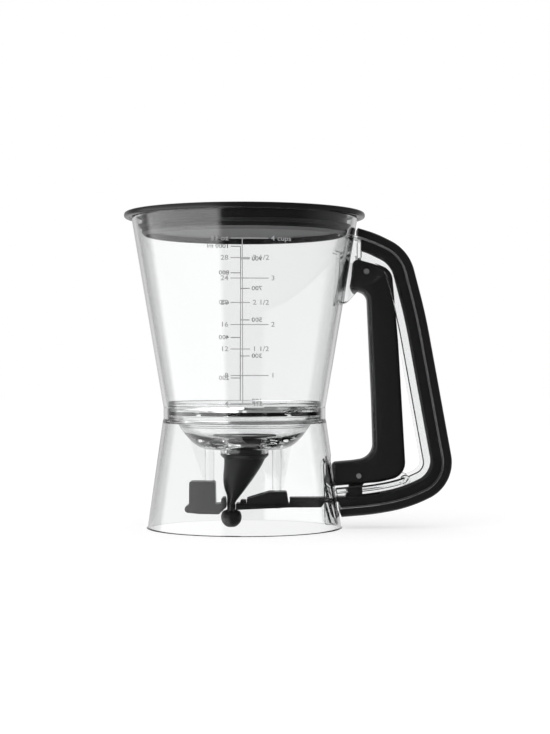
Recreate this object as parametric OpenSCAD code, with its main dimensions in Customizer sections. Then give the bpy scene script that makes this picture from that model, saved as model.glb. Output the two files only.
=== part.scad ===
// Pancake batter dispenser: a clear tapered hopper on a flared clear skirt, with a funnel and a
// silicone pinch valve inside, worked by a trigger in the handle. Millimetres, +Z up.
// The origin is the body's axis at table height, and +X runs from the axis towards the handle.

/* [Body] */
// Height of the clear body
body_h = 181.8; // [172:0.2:195]
// Outer radius of the hopper at its rim
rim_r = 66.4; // [63:0.1:70]
// Outer radius of the hopper where it meets the waist
neck_r = 48.8; // [46.5:0.1:51]
// Height of the top of the waist band
waist_top_z = 73.4; // [71:0.1:76]
// Height of the waist band
waist_h = 10.6; // [9:0.1:13]
// Outer radius of the skirt at the table
base_r = 58.3; // [56:0.1:61]
// Wall of the clear body
wall = 2.4; // [1.8:0.1:3]
// Height of the skirt's window
window_top_z = 42; // [40.5:0.5:46]
// Height of the window's sill
window_sill_z = 9; // [7:0.5:10]

/* [Lid] */
// How far the lid's rim stands out past the hopper's
lid_overhang = 4.3; // [3.2:0.1:7.3]
// Height of the lid's rim
lid_rim_h = 3.3; // [2.8:0.1:9]
// Thickness of the lid's top panel
lid_panel_t = 2.6; // [2.2:0.1:4.6]
// Gap between the hopper wall and the plug
plug_gap = 2.4; // [1.8:0.1:3]
// How far the plug reaches below the hopper's rim
plug_depth = 11.1; // [9:0.1:14]
// Wall of the plug
plug_wall = 2.4; // [1.8:0.1:3]

/* [Funnel] */
// Thickness of the funnel
funnel_wall = 2.2; // [1.6:0.1:2.8]
// Depth from the underside of the funnel's rim to its floor
funnel_depth = 13.5; // [12:0.1:15]
// Height of the funnel's rim ring
funnel_rim_h = 8; // [7:0.1:10]
// Radius of the flat floor of the funnel
funnel_floor_r = 20; // [18.5:0.1:22]
// Radius of the valve's hole in the funnel
valve_hole_r = 10.4; // [9:0.1:11.4]
// Radius of the boss round the hole
boss_r = 14.2; // [13.2:0.1:15]
// Depth of the boss below the floor
boss_h = 4.6; // [3.6:0.1:6]

/* [Posts and blocks] */
// Distance from the axis to the anvil's post
anvil_post_x = 20.6; // [19.6:0.1:22]
// Distance from the axis to the guide's post
guide_post_x = 18.9; // [18.3:0.1:20]
// Radius of a post
post_r = 2.7; // [2.4:0.05:3]
// Radius of the peg that a post stands in its block with
peg_r = 2.3; // [2.1:0.05:2.4]
// Length of the peg
peg_h = 5.5; // [4:0.1:6]
// Height of the anvil's tower
anvil_top_z = 27.6; // [25:0.1:30]
// Width of the anvil's tower along the handle's plane
tower_w = 15.5; // [13:0.1:18]
// Depth of the blocks across the handle's plane
block_depth = 16; // [14:0.5:20]
// Height of the guide block's top
guide_top_z = 21.6; // [20.4:0.1:23]
// Radius of a screw's shank
screw_r = 1.4; // [1.2:0.05:1.5]
// Length of a screw under its head
screw_len = 8.2; // [6.8:0.1:18]

/* [Valve and pinch] */
// Radius of the valve's upper flange
valve_flange_r = 18.9; // [16:0.1:19.5]
// Thickness of the valve's upper flange
valve_flange_t = 3.2; // [2:0.1:4]
// Wall of the silicone
silicone_t = 1.8; // [1.4:0.1:2.4]
// How far the pinched tube leans away from the handle
pinch_x = -7.8; // [-8.4:0.1:-7.2]
// Height of the pinch
pinch_z = 13.4; // [12.9:0.1:13.9]
// Thickness of the pinched tube
pinch_t = 5; // [4.4:0.1:5.6]
// Radius of the round outlet
outlet_r = 6.1; // [5.2:0.1:6.6]
// Height of the outlet's underside over the table
outlet_z = 1.2; // [0.6:0.1:2]

/* [Slider] */
// Thickness of the slider's tongue
tongue_t = 3.8; // [3.5:0.1:4.2]
// Height of the tongue's underside
tongue_z = 11; // [10.6:0.1:11.4]
// Width of the slider across the handle's plane
slider_w = 12; // [11:0.1:13]
// Width of the lug that rises into the trigger
lug_w = 8; // [6:0.1:8.6]
// Travel of the slider
travel = 8.3; // [6:0.1:9]

/* [Handle] */
// Drop from the hopper's rim to the crest of the handle
crest_drop = 14.8; // [12.4:0.1:16.4]
// Distance from the hopper's side to the shoulder of the handle
shoulder_out = 28.8; // [27:0.1:32]
// Distance from the skirt's side to the heel of the handle
heel_out = 64.2; // [62:0.1:69]
// Height of the heel
heel_z = 28.5; // [27.6:0.1:30]
// Outward bow of the long side of the handle
bow = 2; // [0:0.1:3]
// Height of the lower arm at the skirt
foot_z = 11.6; // [10.8:0.1:12.2]
// Thickness of the soft pad outside the channel
pad_t = 5.3; // [4:0.1:6]
// Thickness of the core inside the channel
core_t = 5.7; // [4.8:0.1:6.2]
// Depth of the channel's side plates
plate_h = 11.7; // [11:0.1:12.4]
// Thickness of the channel's side plates
plate_t = 1.9; // [1.5:0.1:2.3]
// Thickness of the channel's web
web_t = 1.2; // [0.8:0.1:1.4]
// Width inside the channel
channel_w = 19; // [18.6:0.1:21]

/* [Trigger] */
// Width of the trigger across the handle's plane
trigger_w = 17.6; // [16.6:0.1:18]
// Thickness of the soft skin
skin_t = 1.8; // [1.2:0.1:2.2]
// Edge radius of the soft skin
skin_edge_r = 2.4; // [1:0.1:2.5]
// Drop from the hopper's rim to the pivot
pivot_drop = 31.9; // [30.9:0.1:33.3]
// Distance from the hopper's side to the pivot
pivot_out = 10.1; // [9.4:0.1:11]
// Distance from the skirt's side to the link pin
link_out = 13.5; // [12.6:0.1:14.5]
// Height of the link pin
link_z = 30.6; // [30:0.1:31.4]
// Rise of the trigger's upper end over the pivot
trigger_rise = 8; // [7:0.1:9]
// Drop of the trigger's upper arm under the pivot
trigger_drop = 13.2; // [12:0.1:15]
// Distance from the pivot's line to the finger side of the grip
finger_out = 3.4; // [2.6:0.1:4.4]
// Distance from the pivot's line to the palm side of the grip
palm_out = 18.9; // [17.6:0.1:19.6]
// Distance from the link's line to the lower end of the finger side
heel_front_out = 8.8; // [8:0.1:10]
// Distance from the link's line to the trigger's heel
heel_back_out = 27.8; // [26:0.1:28.6]
// Rise of the trigger's lower arm over the link
arm_rise = 7.6; // [6.8:0.1:8.4]
// Drop of the trigger's lower arm under the link
arm_drop = 6.2; // [5.4:0.1:6.4]
// Reach of the trigger's lower arm from the link towards the axis
arm_reach = 16; // [12:0.1:16.4]
// Wall between the fingers and the trigger's hollow
finger_wall = 4.8; // [3.6:0.1:6]
// Radius of both pins
pin_r = 1.5; // [1.2:0.05:1.7]

/* [Clearances] */
// Radial running clearance of a pin in its bore
running_gap = 0.06; // [0.02:0.01:0.09]
// Radial clearance of the link pin, which also takes up the rise of its arc
link_gap = 0.1; // [0.09:0.005:0.1]
// Seating gap between fixed pieces
seat_gap = 0.05; // [0.02:0.01:0.1]
// Gap between moving or soft pieces
soft_gap = 0.3; // [0.25:0.05:0.5]

/* [Hidden] */

$fn = 96;
clear_plastic = [0.86, 0.93, 0.96, 0.45];
hard_black = [0.10, 0.10, 0.11];
soft_black = [0.17, 0.17, 0.18];
steel_grey = [0.62, 0.63, 0.65];
seal_grey = [0.80, 0.84, 0.86];

// Radii of the body's outside: a cone above the waist and a cone below it
waist_z = waist_top_z - waist_h;
waist_r = neck_r - 1.2;
skirt_top_r = waist_r + 0.4;
hopper_foot_z = waist_top_z + 2.4;
function hopper_r(z) = neck_r + (rim_r - neck_r) * (z - hopper_foot_z) / (body_h - hopper_foot_z);
function skirt_r(z) = base_r + (skirt_top_r - base_r) * z / waist_z;

// ---- Curves in the handle's plane, as [x, z] points ----

function unit(v) = v / norm(v);
function turned(v) = [-v[1], v[0]];
// Arc that rounds the corner b between a and c with radius r
corner_steps = 5;
function corner_arc(a, b, c, r) =
    let (u = unit(a - b), w = unit(c - b),
         half = acos(u * w) / 2,
         centre = b + unit(u + w) * r / sin(half),
         start = b + u * r / tan(half) - centre,
         sweep = 180 - 2 * half,
         side = sign(start[0] * (c - a)[1] - start[1] * (c - a)[0]),
         steps = corner_steps)
    [for (i = [0 : steps])
        let (t = side * sweep * i / steps)
        centre + [start[0] * cos(t) - start[1] * sin(t), start[0] * sin(t) + start[1] * cos(t)]];
// Open curve through corners [x, z, radius]; a radius of 0 is a plain point
function rounded_path(corners) =
    [for (i = [0 : len(corners) - 1])
        let (p = [corners[i][0], corners[i][1]], r = corners[i][2])
        each (r == 0 ? [p] : corner_arc([corners[i - 1][0], corners[i - 1][1]], p,
                                        [corners[i + 1][0], corners[i + 1][1]], r))];
// Closed outline round corners [x, z, radius]
function rounded_outline(corners) =
    let (n = len(corners))
    [for (i = [0 : n - 1])
        let (a = corners[(i + n - 1) % n], b = corners[i], c = corners[(i + 1) % n])
        each corner_arc([a[0], a[1]], [b[0], b[1]], [c[0], c[1]], b[2])];
// The curve moved sideways, to its left for a positive distance
function beside(path, d) =
    let (n = len(path))
    [for (i = [0 : n - 1])
        path[i] + turned(unit(path[min(i + 1, n - 1)] - path[max(i - 1, 0)])) * d];
// A closed anticlockwise outline drawn in by d
function drawn_in(outline, d) =
    let (n = len(outline))
    [for (i = [0 : n - 1])
        outline[i] + turned(unit(outline[(i + 1) % n] - outline[(i + n - 1) % n])) * d];
function backwards(points) = [for (i = [len(points) - 1 : -1 : 0]) points[i]];
function band(path, d_from, d_to) = concat(beside(path, d_from), backwards(beside(path, d_to)));

// Extrudes an [x, z] shape across the handle's plane, by half_w to each side
module across(half_w) {
    rotate([90, 0, 0])
        linear_extrude(height = 2 * half_w, center = true)
            children();
}
// Extrudes an [x, z] shape on both sides of the handle's plane, from y_in to y_out
module both_sides(y_in, y_out) {
    for (side = [0, 1])
        mirror([0, side, 0])
            translate([0, y_out, 0])
                rotate([90, 0, 0])
                    linear_extrude(height = y_out - y_in)
                        children();
}
// Closed skin through equal bands, one at each depth in ys. Each band runs out along one curve and
// back along another of as many points, so its caps are strips between them.
module loft_across(bands, ys) {
    m = len(bands[0]);
    k = len(ys);
    points = [for (j = [0 : k - 1]) for (p = bands[j]) [p[0], ys[j], p[1]]];
    sides = [for (j = [0 : k - 2]) for (i = [0 : m - 1])
             each [[j * m + i, j * m + (i + 1) % m, (j + 1) * m + (i + 1) % m],
                   [j * m + i, (j + 1) * m + (i + 1) % m, (j + 1) * m + i]]];
    top = (k - 1) * m;
    caps = [for (i = [0 : m / 2 - 2])
            each [[i + 1, i, m - 1 - i], [i + 1, m - 1 - i, m - 2 - i],
                  [top + i, top + i + 1, top + m - 1 - i], [top + i + 1, top + m - 2 - i, top + m - 1 - i]]];
    polyhedron(points, concat(sides, caps), convexity = 8);
}
// Depths and draw-ins of a rounded edge of radius r on a plate of half width half_w
edge_steps = 3;
function edge_ys(half_w, r) =
    concat([for (i = [0 : edge_steps]) -half_w + r * (1 - cos(90 * i / edge_steps))],
           [for (i = [edge_steps : -1 : 0]) half_w - r * (1 - cos(90 * i / edge_steps))]);
function edge_draws(r) =
    concat([for (i = [0 : edge_steps]) r * (1 - sin(90 * i / edge_steps))],
           [for (i = [edge_steps : -1 : 0]) r * (1 - sin(90 * i / edge_steps))]);

// ---- Body ----

ledge_r = neck_r - 7.3;
ledge_t = 1.6;
module body_shell() {
    color(clear_plastic)
    difference() {
        rotate_extrude()
            polygon([[base_r, 0], [skirt_top_r, waist_z], [waist_r, waist_z + 0.8],
                     [waist_r, waist_top_z], [neck_r, hopper_foot_z], [rim_r, body_h],
                     [rim_r - wall, body_h], [neck_r - wall, hopper_foot_z],
                     [waist_r - wall, waist_top_z], [waist_r - wall, waist_z + 0.8],
                     [ledge_r, waist_z + 0.8], [ledge_r, waist_z + 0.8 - ledge_t],
                     [skirt_r(waist_z - 3) - wall, waist_z + 0.2 - 2 * ledge_t],
                     [base_r - wall, 0]]);
        // Window that the slider and the trigger's lower arm pass through
        window_l = base_r - ledge_r + wall;
        translate([ledge_r, -channel_w / 2 - 0.1, window_sill_z])
            cube([window_l, channel_w + 0.2, window_top_z - window_sill_z]);
    }
}

// ---- Funnel and its seal ----

funnel_z = waist_z + 0.8 + soft_gap;
funnel_r = waist_r - wall - seat_gap * 4;
floor_top_z = funnel_z - funnel_depth;
floor_z = floor_top_z - funnel_wall;
bowl_r = ledge_r - 1.2;
seal_r = 1.1;
// Outer profile of the bowl from the floor to its rim, a quarter of an ellipse
bowl_steps = 10;
function bowl_curve(r_in, r_out, z_low, z_high) =
    [for (i = [0 : bowl_steps])
        let (t = 90 * i / bowl_steps)
        [r_in + (r_out - r_in) * sin(t), z_high - (z_high - z_low) * cos(t)]];
module funnel_post(x, foot_z, rib_side, rib_reach) {
    top_z = floor_z + 1;
    translate([x, 0, foot_z])
        cylinder(r = post_r, h = top_z - foot_z, $fn = 48);
    translate([x, 0, foot_z - peg_h])
        cylinder(r = peg_r, h = peg_h + 1, $fn = 40);
    // Thin stiffening rib that spreads up to the bowl
    across(0.6)
        polygon([[x, foot_z + 2], [x + rib_side * (post_r + 1.2), foot_z + 2],
                 [x + rib_side * (post_r + rib_reach), floor_z + 3], [x, top_z]]);
}
module funnel() {
    color(clear_plastic)
    difference() {
        union() {
            rotate_extrude()
                polygon(concat(
                    [[valve_hole_r, floor_top_z], [valve_hole_r, floor_z - boss_h],
                     [boss_r, floor_z - boss_h], [boss_r, floor_z]],
                    bowl_curve(funnel_floor_r, bowl_r, floor_z, funnel_z),
                    [[funnel_r, funnel_z], [funnel_r, funnel_z + funnel_rim_h],
                     [funnel_r - 1.4, funnel_z + funnel_rim_h]],
                    backwards(bowl_curve(funnel_floor_r, bowl_r - funnel_wall, floor_top_z,
                                         funnel_z + funnel_wall))));
            difference() {
                union() {
                    funnel_post(-anvil_post_x, anvil_top_z, -1, 9);
                    funnel_post(guide_post_x, guide_top_z, 1, 6);
                }
                // The posts and ribs stop at the outside of the bowl
                rotate_extrude()
                    polygon(concat([[0, floor_z + 0.5], [funnel_floor_r, floor_z + 0.5]],
                                   bowl_curve(funnel_floor_r, bowl_r, floor_z + 0.5, funnel_z + 0.5),
                                   [[bowl_r, funnel_z + 30], [0, funnel_z + 30]]));
            }
        }
        // Pilot holes for the two screws, up to their tips
        for (post = [[-anvil_post_x, anvil_head_z, anvil_top_z], [guide_post_x, slot_floor_z, guide_top_z]])
            translate([post[0], 0, post[2] - peg_h - 0.1])
                cylinder(r = screw_r + seat_gap, h = post[1] + screw_len + 0.2 - post[2] + peg_h, $fn = 32);
    }
}
module funnel_seal() {
    color(seal_grey)
    translate([0, 0, funnel_z + funnel_rim_h])
        rotate_extrude()
            polygon([[funnel_r - 1.4, 0], [funnel_r, 0], [funnel_r, seal_r],
                     [funnel_r - 0.5, 2 * seal_r], [funnel_r - 1.4, seal_r]]);
}

// ---- Silicone pinch valve ----

lower_flange_r = boss_r;
lower_flange_t = 2.8;
valve_neck_r = valve_hole_r - seat_gap;
lower_flange_z = floor_z - boss_h - lower_flange_t;
// Half widths of the tube from the flange down to the outlet: [z, centre x, half x, half y]
cone_z = lower_flange_z;
cone_h = cone_z - pinch_z;
outlet_mid_z = outlet_z + outlet_r * 0.86;
function tube_rings() = [
    [cone_z, 0, 12, 12],
    [cone_z - cone_h * 0.17, -1.2, 10.9, 11.6],
    [cone_z - cone_h * 0.40, -3.5, 9.1, 11],
    [cone_z - cone_h * 0.62, -5.4, 6.6, 10.4],
    [cone_z - cone_h * 0.80, pinch_x + 1.3, pinch_t / 2 + 1.4, 9.8],
    [tongue_z + tongue_t + 0.4, pinch_x, pinch_t / 2, 9],
    [pinch_z, pinch_x, pinch_t / 2, 8.6],
    [tongue_z, pinch_x, pinch_t / 2, 7.4],
    [tongue_z - 0.4, pinch_x, outlet_r * 0.54, outlet_r * 0.98]];
ring_sides = 32;
module tube_loft(rings) {
    m = ring_sides;
    k = len(rings);
    points = [for (r = rings) for (i = [0 : m - 1])
              let (t = 360 * i / m) [r[1] + r[2] * cos(t), r[3] * sin(t), r[0]]];
    sides = [for (j = [0 : k - 2]) for (i = [0 : m - 1])
             each [[j * m + i, j * m + (i + 1) % m, (j + 1) * m + (i + 1) % m],
                   [j * m + i, (j + 1) * m + (i + 1) % m, (j + 1) * m + i]]];
    first_cap = [for (i = [m - 1 : -1 : 0]) i];
    last_cap = [for (i = [0 : m - 1]) (k - 1) * m + i];
    polyhedron(points, concat([first_cap], sides, [last_cap]), convexity = 6);
}
// Rings of the round outlet, a bead that opens downwards
bead_steps = 8;
bore_r = valve_neck_r - silicone_t;
function bead_rings(shrink) =
    [for (i = [0 : bead_steps])
        let (t = 55 + (160 - 55) * i / bead_steps, r = (outlet_r - shrink) * sin(t))
        [outlet_mid_z + (outlet_r - shrink * 0.5) * cos(t), pinch_x, r, r]];
module valve() {
    color(soft_black)
    difference() {
        union() {
            // Upper flange on the funnel's floor, neck and lower flange
            translate([0, 0, floor_top_z])
                cylinder(r1 = valve_flange_r, r2 = valve_flange_r - 0.7, h = valve_flange_t);
            translate([0, 0, lower_flange_z + lower_flange_t / 2])
                cylinder(r = valve_neck_r, h = floor_top_z + 1 - lower_flange_z - lower_flange_t / 2);
            translate([0, 0, lower_flange_z])
                cylinder(r1 = lower_flange_r - 1.9, r2 = lower_flange_r, h = lower_flange_t);
            tube_loft(concat([[cone_z + 0.8, 0, 11.7, 11.7]], tube_rings(), bead_rings(0)));
        }
        // Batter way: a funnel mouth, the bore of the neck and the narrowing tube
        translate([0, 0, floor_top_z + 0.6])
            cylinder(r1 = bore_r, r2 = valve_flange_r - 2.4, h = valve_flange_t);
        translate([0, 0, cone_z])
            cylinder(r = bore_r, h = floor_top_z + 2 - cone_z);
        tube_loft(concat([[cone_z + 1, 0, bore_r - 0.5, bore_r - 0.5]],
                         [for (r = tube_rings()) if (r[0] < cone_z && r[0] > pinch_z + 1)
                          [r[0], r[1], max(0.5, r[2] - 2 * silicone_t), min(bore_r - 0.5, r[3] - silicone_t)]]));
        tube_loft([[outlet_mid_z + 3.2, pinch_x, 0.6, 4], [outlet_mid_z, pinch_x, 3, 4.2],
                   [outlet_z - 2, pinch_x, 3.4, 3.8]]);
    }
}
// Stiff ring inside the valve's neck, which keeps it seated in the funnel
insert_t = 0.9;
module valve_insert() {
    color(hard_black)
    translate([0, 0, cone_z + 1])
        difference() {
            cylinder(r = valve_neck_r - silicone_t - seat_gap, h = floor_top_z - cone_z - 1);
            translate([0, 0, -0.1])
                cylinder(r = valve_neck_r - silicone_t - insert_t, h = floor_top_z - cone_z + 1);
        }
}

// ---- Anvil, guide and their screws ----

bar_top_z = 14.9;
bar_z = 8.6;
screw_head_r = 2.6;
screw_head_h = 1.6;
anvil_jaw_x = pinch_x - pinch_t / 2 - soft_gap;
slider_jaw_x = pinch_x + pinch_t / 2 + soft_gap;
anvil_head_z = anvil_top_z - screw_len - 0.2;
module anvil_block() {
    color(hard_black)
    difference() {
        union() {
            tower_x = -anvil_post_x - tower_w / 2 - 4;
            // Tower under the post
            across(block_depth / 2)
                polygon(rounded_outline([[tower_x, bar_z + 2, 0.4], [tower_x + 0.2, anvil_top_z, 1],
                                         [tower_x + tower_w - 0.2, anvil_top_z, 1.4],
                                         [tower_x + tower_w, bar_z + 2, 0.4]]));
            // Low bar that carries the fixed jaw
            across(block_depth / 2)
                polygon(rounded_outline([[tower_x - 2.4, bar_z + 1, 2], [tower_x - 2.4, bar_top_z - 1.2, 2],
                                         [tower_x + 2, bar_top_z - 1.2, 1], [anvil_jaw_x, bar_top_z, 0.6],
                                         [anvil_jaw_x, outlet_mid_z + outlet_r + 0.1, 0.2],
                                         [pinch_x - outlet_r - 1, bar_z, 0.6],
                                         [tower_x + 6, bar_z + 0.2, 3]]));
            // Rounded jaw that the silicone is pinched against
            across(block_depth / 2 - 1)
                polygon(rounded_outline([[anvil_jaw_x - 3, bar_top_z - 1, 0.3], [anvil_jaw_x - 3, bar_top_z + 3, 1.4],
                                         [anvil_jaw_x - 0.4, bar_top_z + 3.6, 1], [anvil_jaw_x, bar_top_z - 1, 0.3]]));
        }
        // Clearance hole and deep counterbore for the screw
        translate([-anvil_post_x, 0, bar_z - 1])
            cylinder(r = screw_r + seat_gap, h = anvil_top_z, $fn = 32);
        translate([-anvil_post_x, 0, bar_z - 1])
            cylinder(r = screw_head_r + soft_gap, h = anvil_head_z - bar_z + 1, $fn = 32);
        translate([-anvil_post_x, 0, anvil_top_z - peg_h - seat_gap])
            cylinder(r = peg_r + seat_gap, h = peg_h + 2, $fn = 40);
    }
}

tongue_top_z = tongue_z + tongue_t;
guide_z = tongue_top_z + soft_gap / 2;
guide_x0 = 1.4;
guide_x1 = guide_post_x + 6.9;
guide_boss_r = 2.2;
slot_floor_z = tongue_z + 2.2;
lobe_half_w = 4.4;
module guide_block() {
    color(hard_black)
    difference() {
        union() {
            // Wedge that rises towards the post
            across(block_depth / 2)
                polygon(rounded_outline([[guide_x0, guide_z, 0.4], [guide_x0, guide_z + 2.7, 0.5],
                                         [guide_post_x - post_r - 1.8, guide_top_z, 1],
                                         [guide_x1 - 1, guide_top_z, 1], [guide_x1, guide_z, 0.4]]));
            // Collar that runs in the slider's slot
            translate([guide_post_x, 0, slot_floor_z])
                cylinder(r = guide_boss_r, h = guide_z + 1 - slot_floor_z, $fn = 40);
        }
        // Notch that the slider's jaw draws back into
        translate([guide_x0 - 1, -lobe_half_w - soft_gap, guide_z - 1])
            cube([travel + 2.2, 2 * (lobe_half_w + soft_gap), guide_top_z]);
        translate([guide_post_x, 0, slot_floor_z - 1])
            cylinder(r = screw_r + seat_gap, h = guide_top_z, $fn = 32);
        translate([guide_post_x, 0, guide_top_z - peg_h - seat_gap])
            cylinder(r = peg_r + seat_gap, h = peg_h + 2, $fn = 40);
    }
}

module screw(x, head_z) {
    translate([x, 0, head_z]) {
        difference() {
            translate([0, 0, -screw_head_h])
                cylinder(r1 = screw_head_r - 0.3, r2 = screw_head_r, h = screw_head_h, $fn = 40);
            // Cross recess
            for (a = [0, 90])
                rotate([0, 0, a])
                    translate([-1.5, -0.35, -screw_head_h - 0.1])
                        cube([3, 0.7, 1]);
        }
        cylinder(r = screw_r, h = screw_len - 1.5, $fn = 32);
        translate([0, 0, screw_len - 1.5])
            cylinder(r1 = screw_r, r2 = 0.5, h = 1.5, $fn = 32);
    }
}
module block_screws() {
    color(steel_grey) {
        screw(-anvil_post_x, anvil_head_z);
        screw(guide_post_x, slot_floor_z);
    }
}

// ---- Handle ----

// Line of the channel's web, from the hopper over the shoulder and the heel to the skirt
crest_z = body_h - crest_drop;
shoulder = [hopper_r(crest_z - 8.2) + shoulder_out, crest_z - 8.2];
heel = [skirt_r(heel_z) + heel_out, heel_z];
upper_mid = shoulder + (heel - shoulder) * 0.27 + [bow, 0];
root_x = hopper_r(crest_z) - 8;
web_line = rounded_path([
    [root_x, crest_z + 5.8, 0], [shoulder[0] - 16.5, crest_z, 60], [shoulder[0], shoulder[1], 21],
    [upper_mid[0], upper_mid[1], 350], [heel[0], heel[1], 18], [heel[0] - 23.5, heel[1] - 11.5, 80],
    [heel[0] - 44, foot_z + 1.8, 150], [skirt_r(foot_z) - 6, foot_z - 0.1, 0]]);
// The web line runs clockwise, so its left side is the outside of the handle
half_channel = channel_w / 2;
pad_half_w = half_channel + plate_t + 1.1;

pivot = [hopper_r(body_h - pivot_drop) + pivot_out, body_h - pivot_drop];
link = [skirt_r(link_z) + link_out, link_z];

// Solid inside of the body, which the handle stops at
module body_void(gap) {
    rotate_extrude()
        polygon([[0, -1], [base_r + gap, -1], [base_r + gap, 0], [skirt_top_r + gap, waist_z],
                 [waist_r + gap, waist_z + 0.8], [waist_r + gap, waist_top_z],
                 [neck_r + gap, hopper_foot_z], [rim_r + gap, body_h], [rim_r + gap, body_h + 5],
                 [0, body_h + 5]]);
}
// Square ends of what the arms carry, this far off the hopper and off the skirt
module arm_ends(half_w, off_hopper, off_skirt) {
    translate([0, -half_w, heel_z * 2])
        cube([hopper_r(crest_z + 4) + off_hopper, 2 * half_w, body_h]);
    translate([0, -half_w, -1])
        cube([skirt_r(foot_z - 3) + off_skirt, 2 * half_w, heel_z]);
}
rest_rib = [pivot[0] - 4.9, pivot[1] + 7.8];
// Rail on the lower plates: its height, its stand-out, its lip past the plates' edge and its nose
rail_h = 3.4;
rail_out = 0.9;
rail_lip = 0.3;
rail_nose_r = 2.9;
module handle_frame() {
    ear_r = 7.6;
    color(clear_plastic)
    difference() {
        union() {
            // Web, and the two side plates that hang from it
            across(half_channel + plate_t)
                polygon(band(web_line, -web_t / 2, web_t / 2));
            both_sides(half_channel, half_channel + plate_t)
                union() {
                    polygon(band(web_line, -plate_h, 0));
                    // Ears that hold the pivot, joined to the plates and to the hopper
                    polygon([[root_x, crest_z + 4], [shoulder[0] - 14, crest_z - 2],
                             [shoulder[0] - 8, crest_z - 8], [pivot[0] + 12.5, pivot[1] + 4],
                             [pivot[0] + 6, pivot[1] - 5], [pivot[0], pivot[1] - ear_r],
                             [pivot[0] - 5.4, pivot[1] - 8], [hopper_r(pivot[1] - 17) + 2, pivot[1] - 18],
                             [hopper_r(pivot[1] - 20) - 6, pivot[1] - 20]]);
                    translate(pivot)
                        circle(r = ear_r, $fn = 48);
                }
            // Rail along the lower plates, with a round nose behind the trigger's heel
            rail = [for (p = beside(web_line, -plate_h + rail_h / 2 - rail_lip))
                    if (p[1] < 60 && p[0] < heel[0] - 23) p];
            both_sides(half_channel, half_channel + plate_t + rail_out) {
                union() {
                    polygon(band(rail, -rail_h / 2, rail_h / 2));
                    translate(rail[0])
                        circle(r = rail_nose_r, $fn = 40);
                }
            }
            // Rib that the trigger rests against, and the cross boss at the root
            across(half_channel + 0.2)
                polygon([[rest_rib[0], rest_rib[1]], [rest_rib[0] + 1.6, rest_rib[1] - 0.3],
                         [rest_rib[0] + 1.6, crest_z], [rest_rib[0], crest_z + 0.6]]);
        }
        body_void(seat_gap);
        // Bore of the pivot
        translate([pivot[0], 0, pivot[1]])
            rotate([90, 0, 0])
                cylinder(r = pin_r, h = 60, center = true, $fn = 48);
    }
}
// Hard core that fills the outer part of the channel
module grip_core() {
    color(hard_black)
    difference() {
        across(half_channel - seat_gap)
            polygon(band(web_line, -core_t, -web_t / 2 - seat_gap));
        arm_ends(half_channel, rest_rib[0] + 1.8 - hopper_r(crest_z + 4), 1.2);
        // Groove that the slider's end runs in
        translate([0, -slider_w / 2 - soft_gap, 0])
            cube([link[0] + travel + 4.6, slider_w + 2 * soft_gap, 30]);
    }
}
module grip_pad() {
    edge_r = 2.6;
    color(soft_black)
    difference() {
        loft_across([for (d = edge_draws(edge_r)) band(web_line, web_t / 2 + seat_gap, pad_t - d)],
                    edge_ys(pad_half_w, edge_r));
        arm_ends(pad_half_w + 1, 1.6, 1.2);
    }
}

// ---- Trigger ----

wall_gap = 1.3;
arm_left_x = link[0] - arm_reach;
end_r = 2.7;
top_left_x = hopper_r(pivot[1]) + wall_gap;
side_lean = hopper_r(pivot[1]) - hopper_r(pivot[1] - 1);
// Side towards the handle, from the upper end round to the lower end
trigger_back = rounded_path([
    [top_left_x, pivot[1] - 0.5, 0], [top_left_x + trigger_rise * side_lean, pivot[1] + trigger_rise, end_r],
    [pivot[0] + 4.8, pivot[1] + trigger_rise - 2.8, 30], [pivot[0] + palm_out - 3.9, pivot[1] + trigger_rise - 7, 9],
    [pivot[0] + palm_out, pivot[1] - 41.9, 500], [link[0] + heel_back_out, link[1], 10],
    [link[0] + 12.5, link[1] - arm_drop + 2.4, 40], [arm_left_x, link[1] - arm_drop, end_r],
    [arm_left_x + 0.2, link[1] + 0.4, 0]]);
// Side that the fingers pull, and its three bends, which the hollow behind it follows
front_top = [pivot[0] + finger_out - 2.8, pivot[1] - trigger_drop];
front_mid = [pivot[0] + finger_out, pivot[1] - 75];
front_low = [link[0] + heel_front_out, link[1] + arm_rise + 3];
trigger_front = rounded_path([
    [top_left_x, pivot[1] - 1.5, 0], [top_left_x - 10 * side_lean, pivot[1] - trigger_drop + 3, end_r],
    [pivot[0] - 6, pivot[1] - trigger_drop + 2.2, 4], [front_top[0], front_top[1], 6],
    [front_mid[0], front_mid[1], 500], [front_low[0], front_low[1], 9],
    [link[0] - 3, link[1] + arm_rise + 1.1, 60], [arm_left_x + 0.6, link[1] + arm_rise, end_r],
    [arm_left_x + 0.3, link[1] + 1.4, 0]]);
function trigger_band() = concat(trigger_front, backwards(trigger_back));
core_half_w = trigger_w / 2 - skin_t;
cheek_in = lug_w / 2 + 0.5;
module trigger_pockets(grow) {
    // Pocket round the pivot for the spring
    translate([pivot[0], 0, pivot[1]])
        rotate([90, 0, 0])
            cylinder(r = 4.6 + grow, h = 2 * (cheek_in + grow), center = true, $fn = 48);
    // Slot for the spring's upper leg
    translate([pivot[0] + spring_leg_x - 1.5, spring_leg_y - wire_r - 0.4, pivot[1]])
        cube([2.8, 2 * wire_r + 0.8, 14]);
    // Slot from below for the slider's lug
    translate([link[0] - 7.6 - grow, -cheek_in - grow, link[1] - 12])
        cube([12.6 + 2 * grow, 2 * (cheek_in + grow), 16.4 + grow]);
    // Long hollow that is open towards the handle
    across(cheek_in + grow)
        polygon([front_top + [finger_wall, -7], front_mid + [finger_wall, 0], front_low + [finger_wall, 11.4],
                 [link[0] + heel_back_out + 12, front_low[1] + 11.4], [pivot[0] + palm_out + 11, front_top[1] - 7]]);
}
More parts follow.
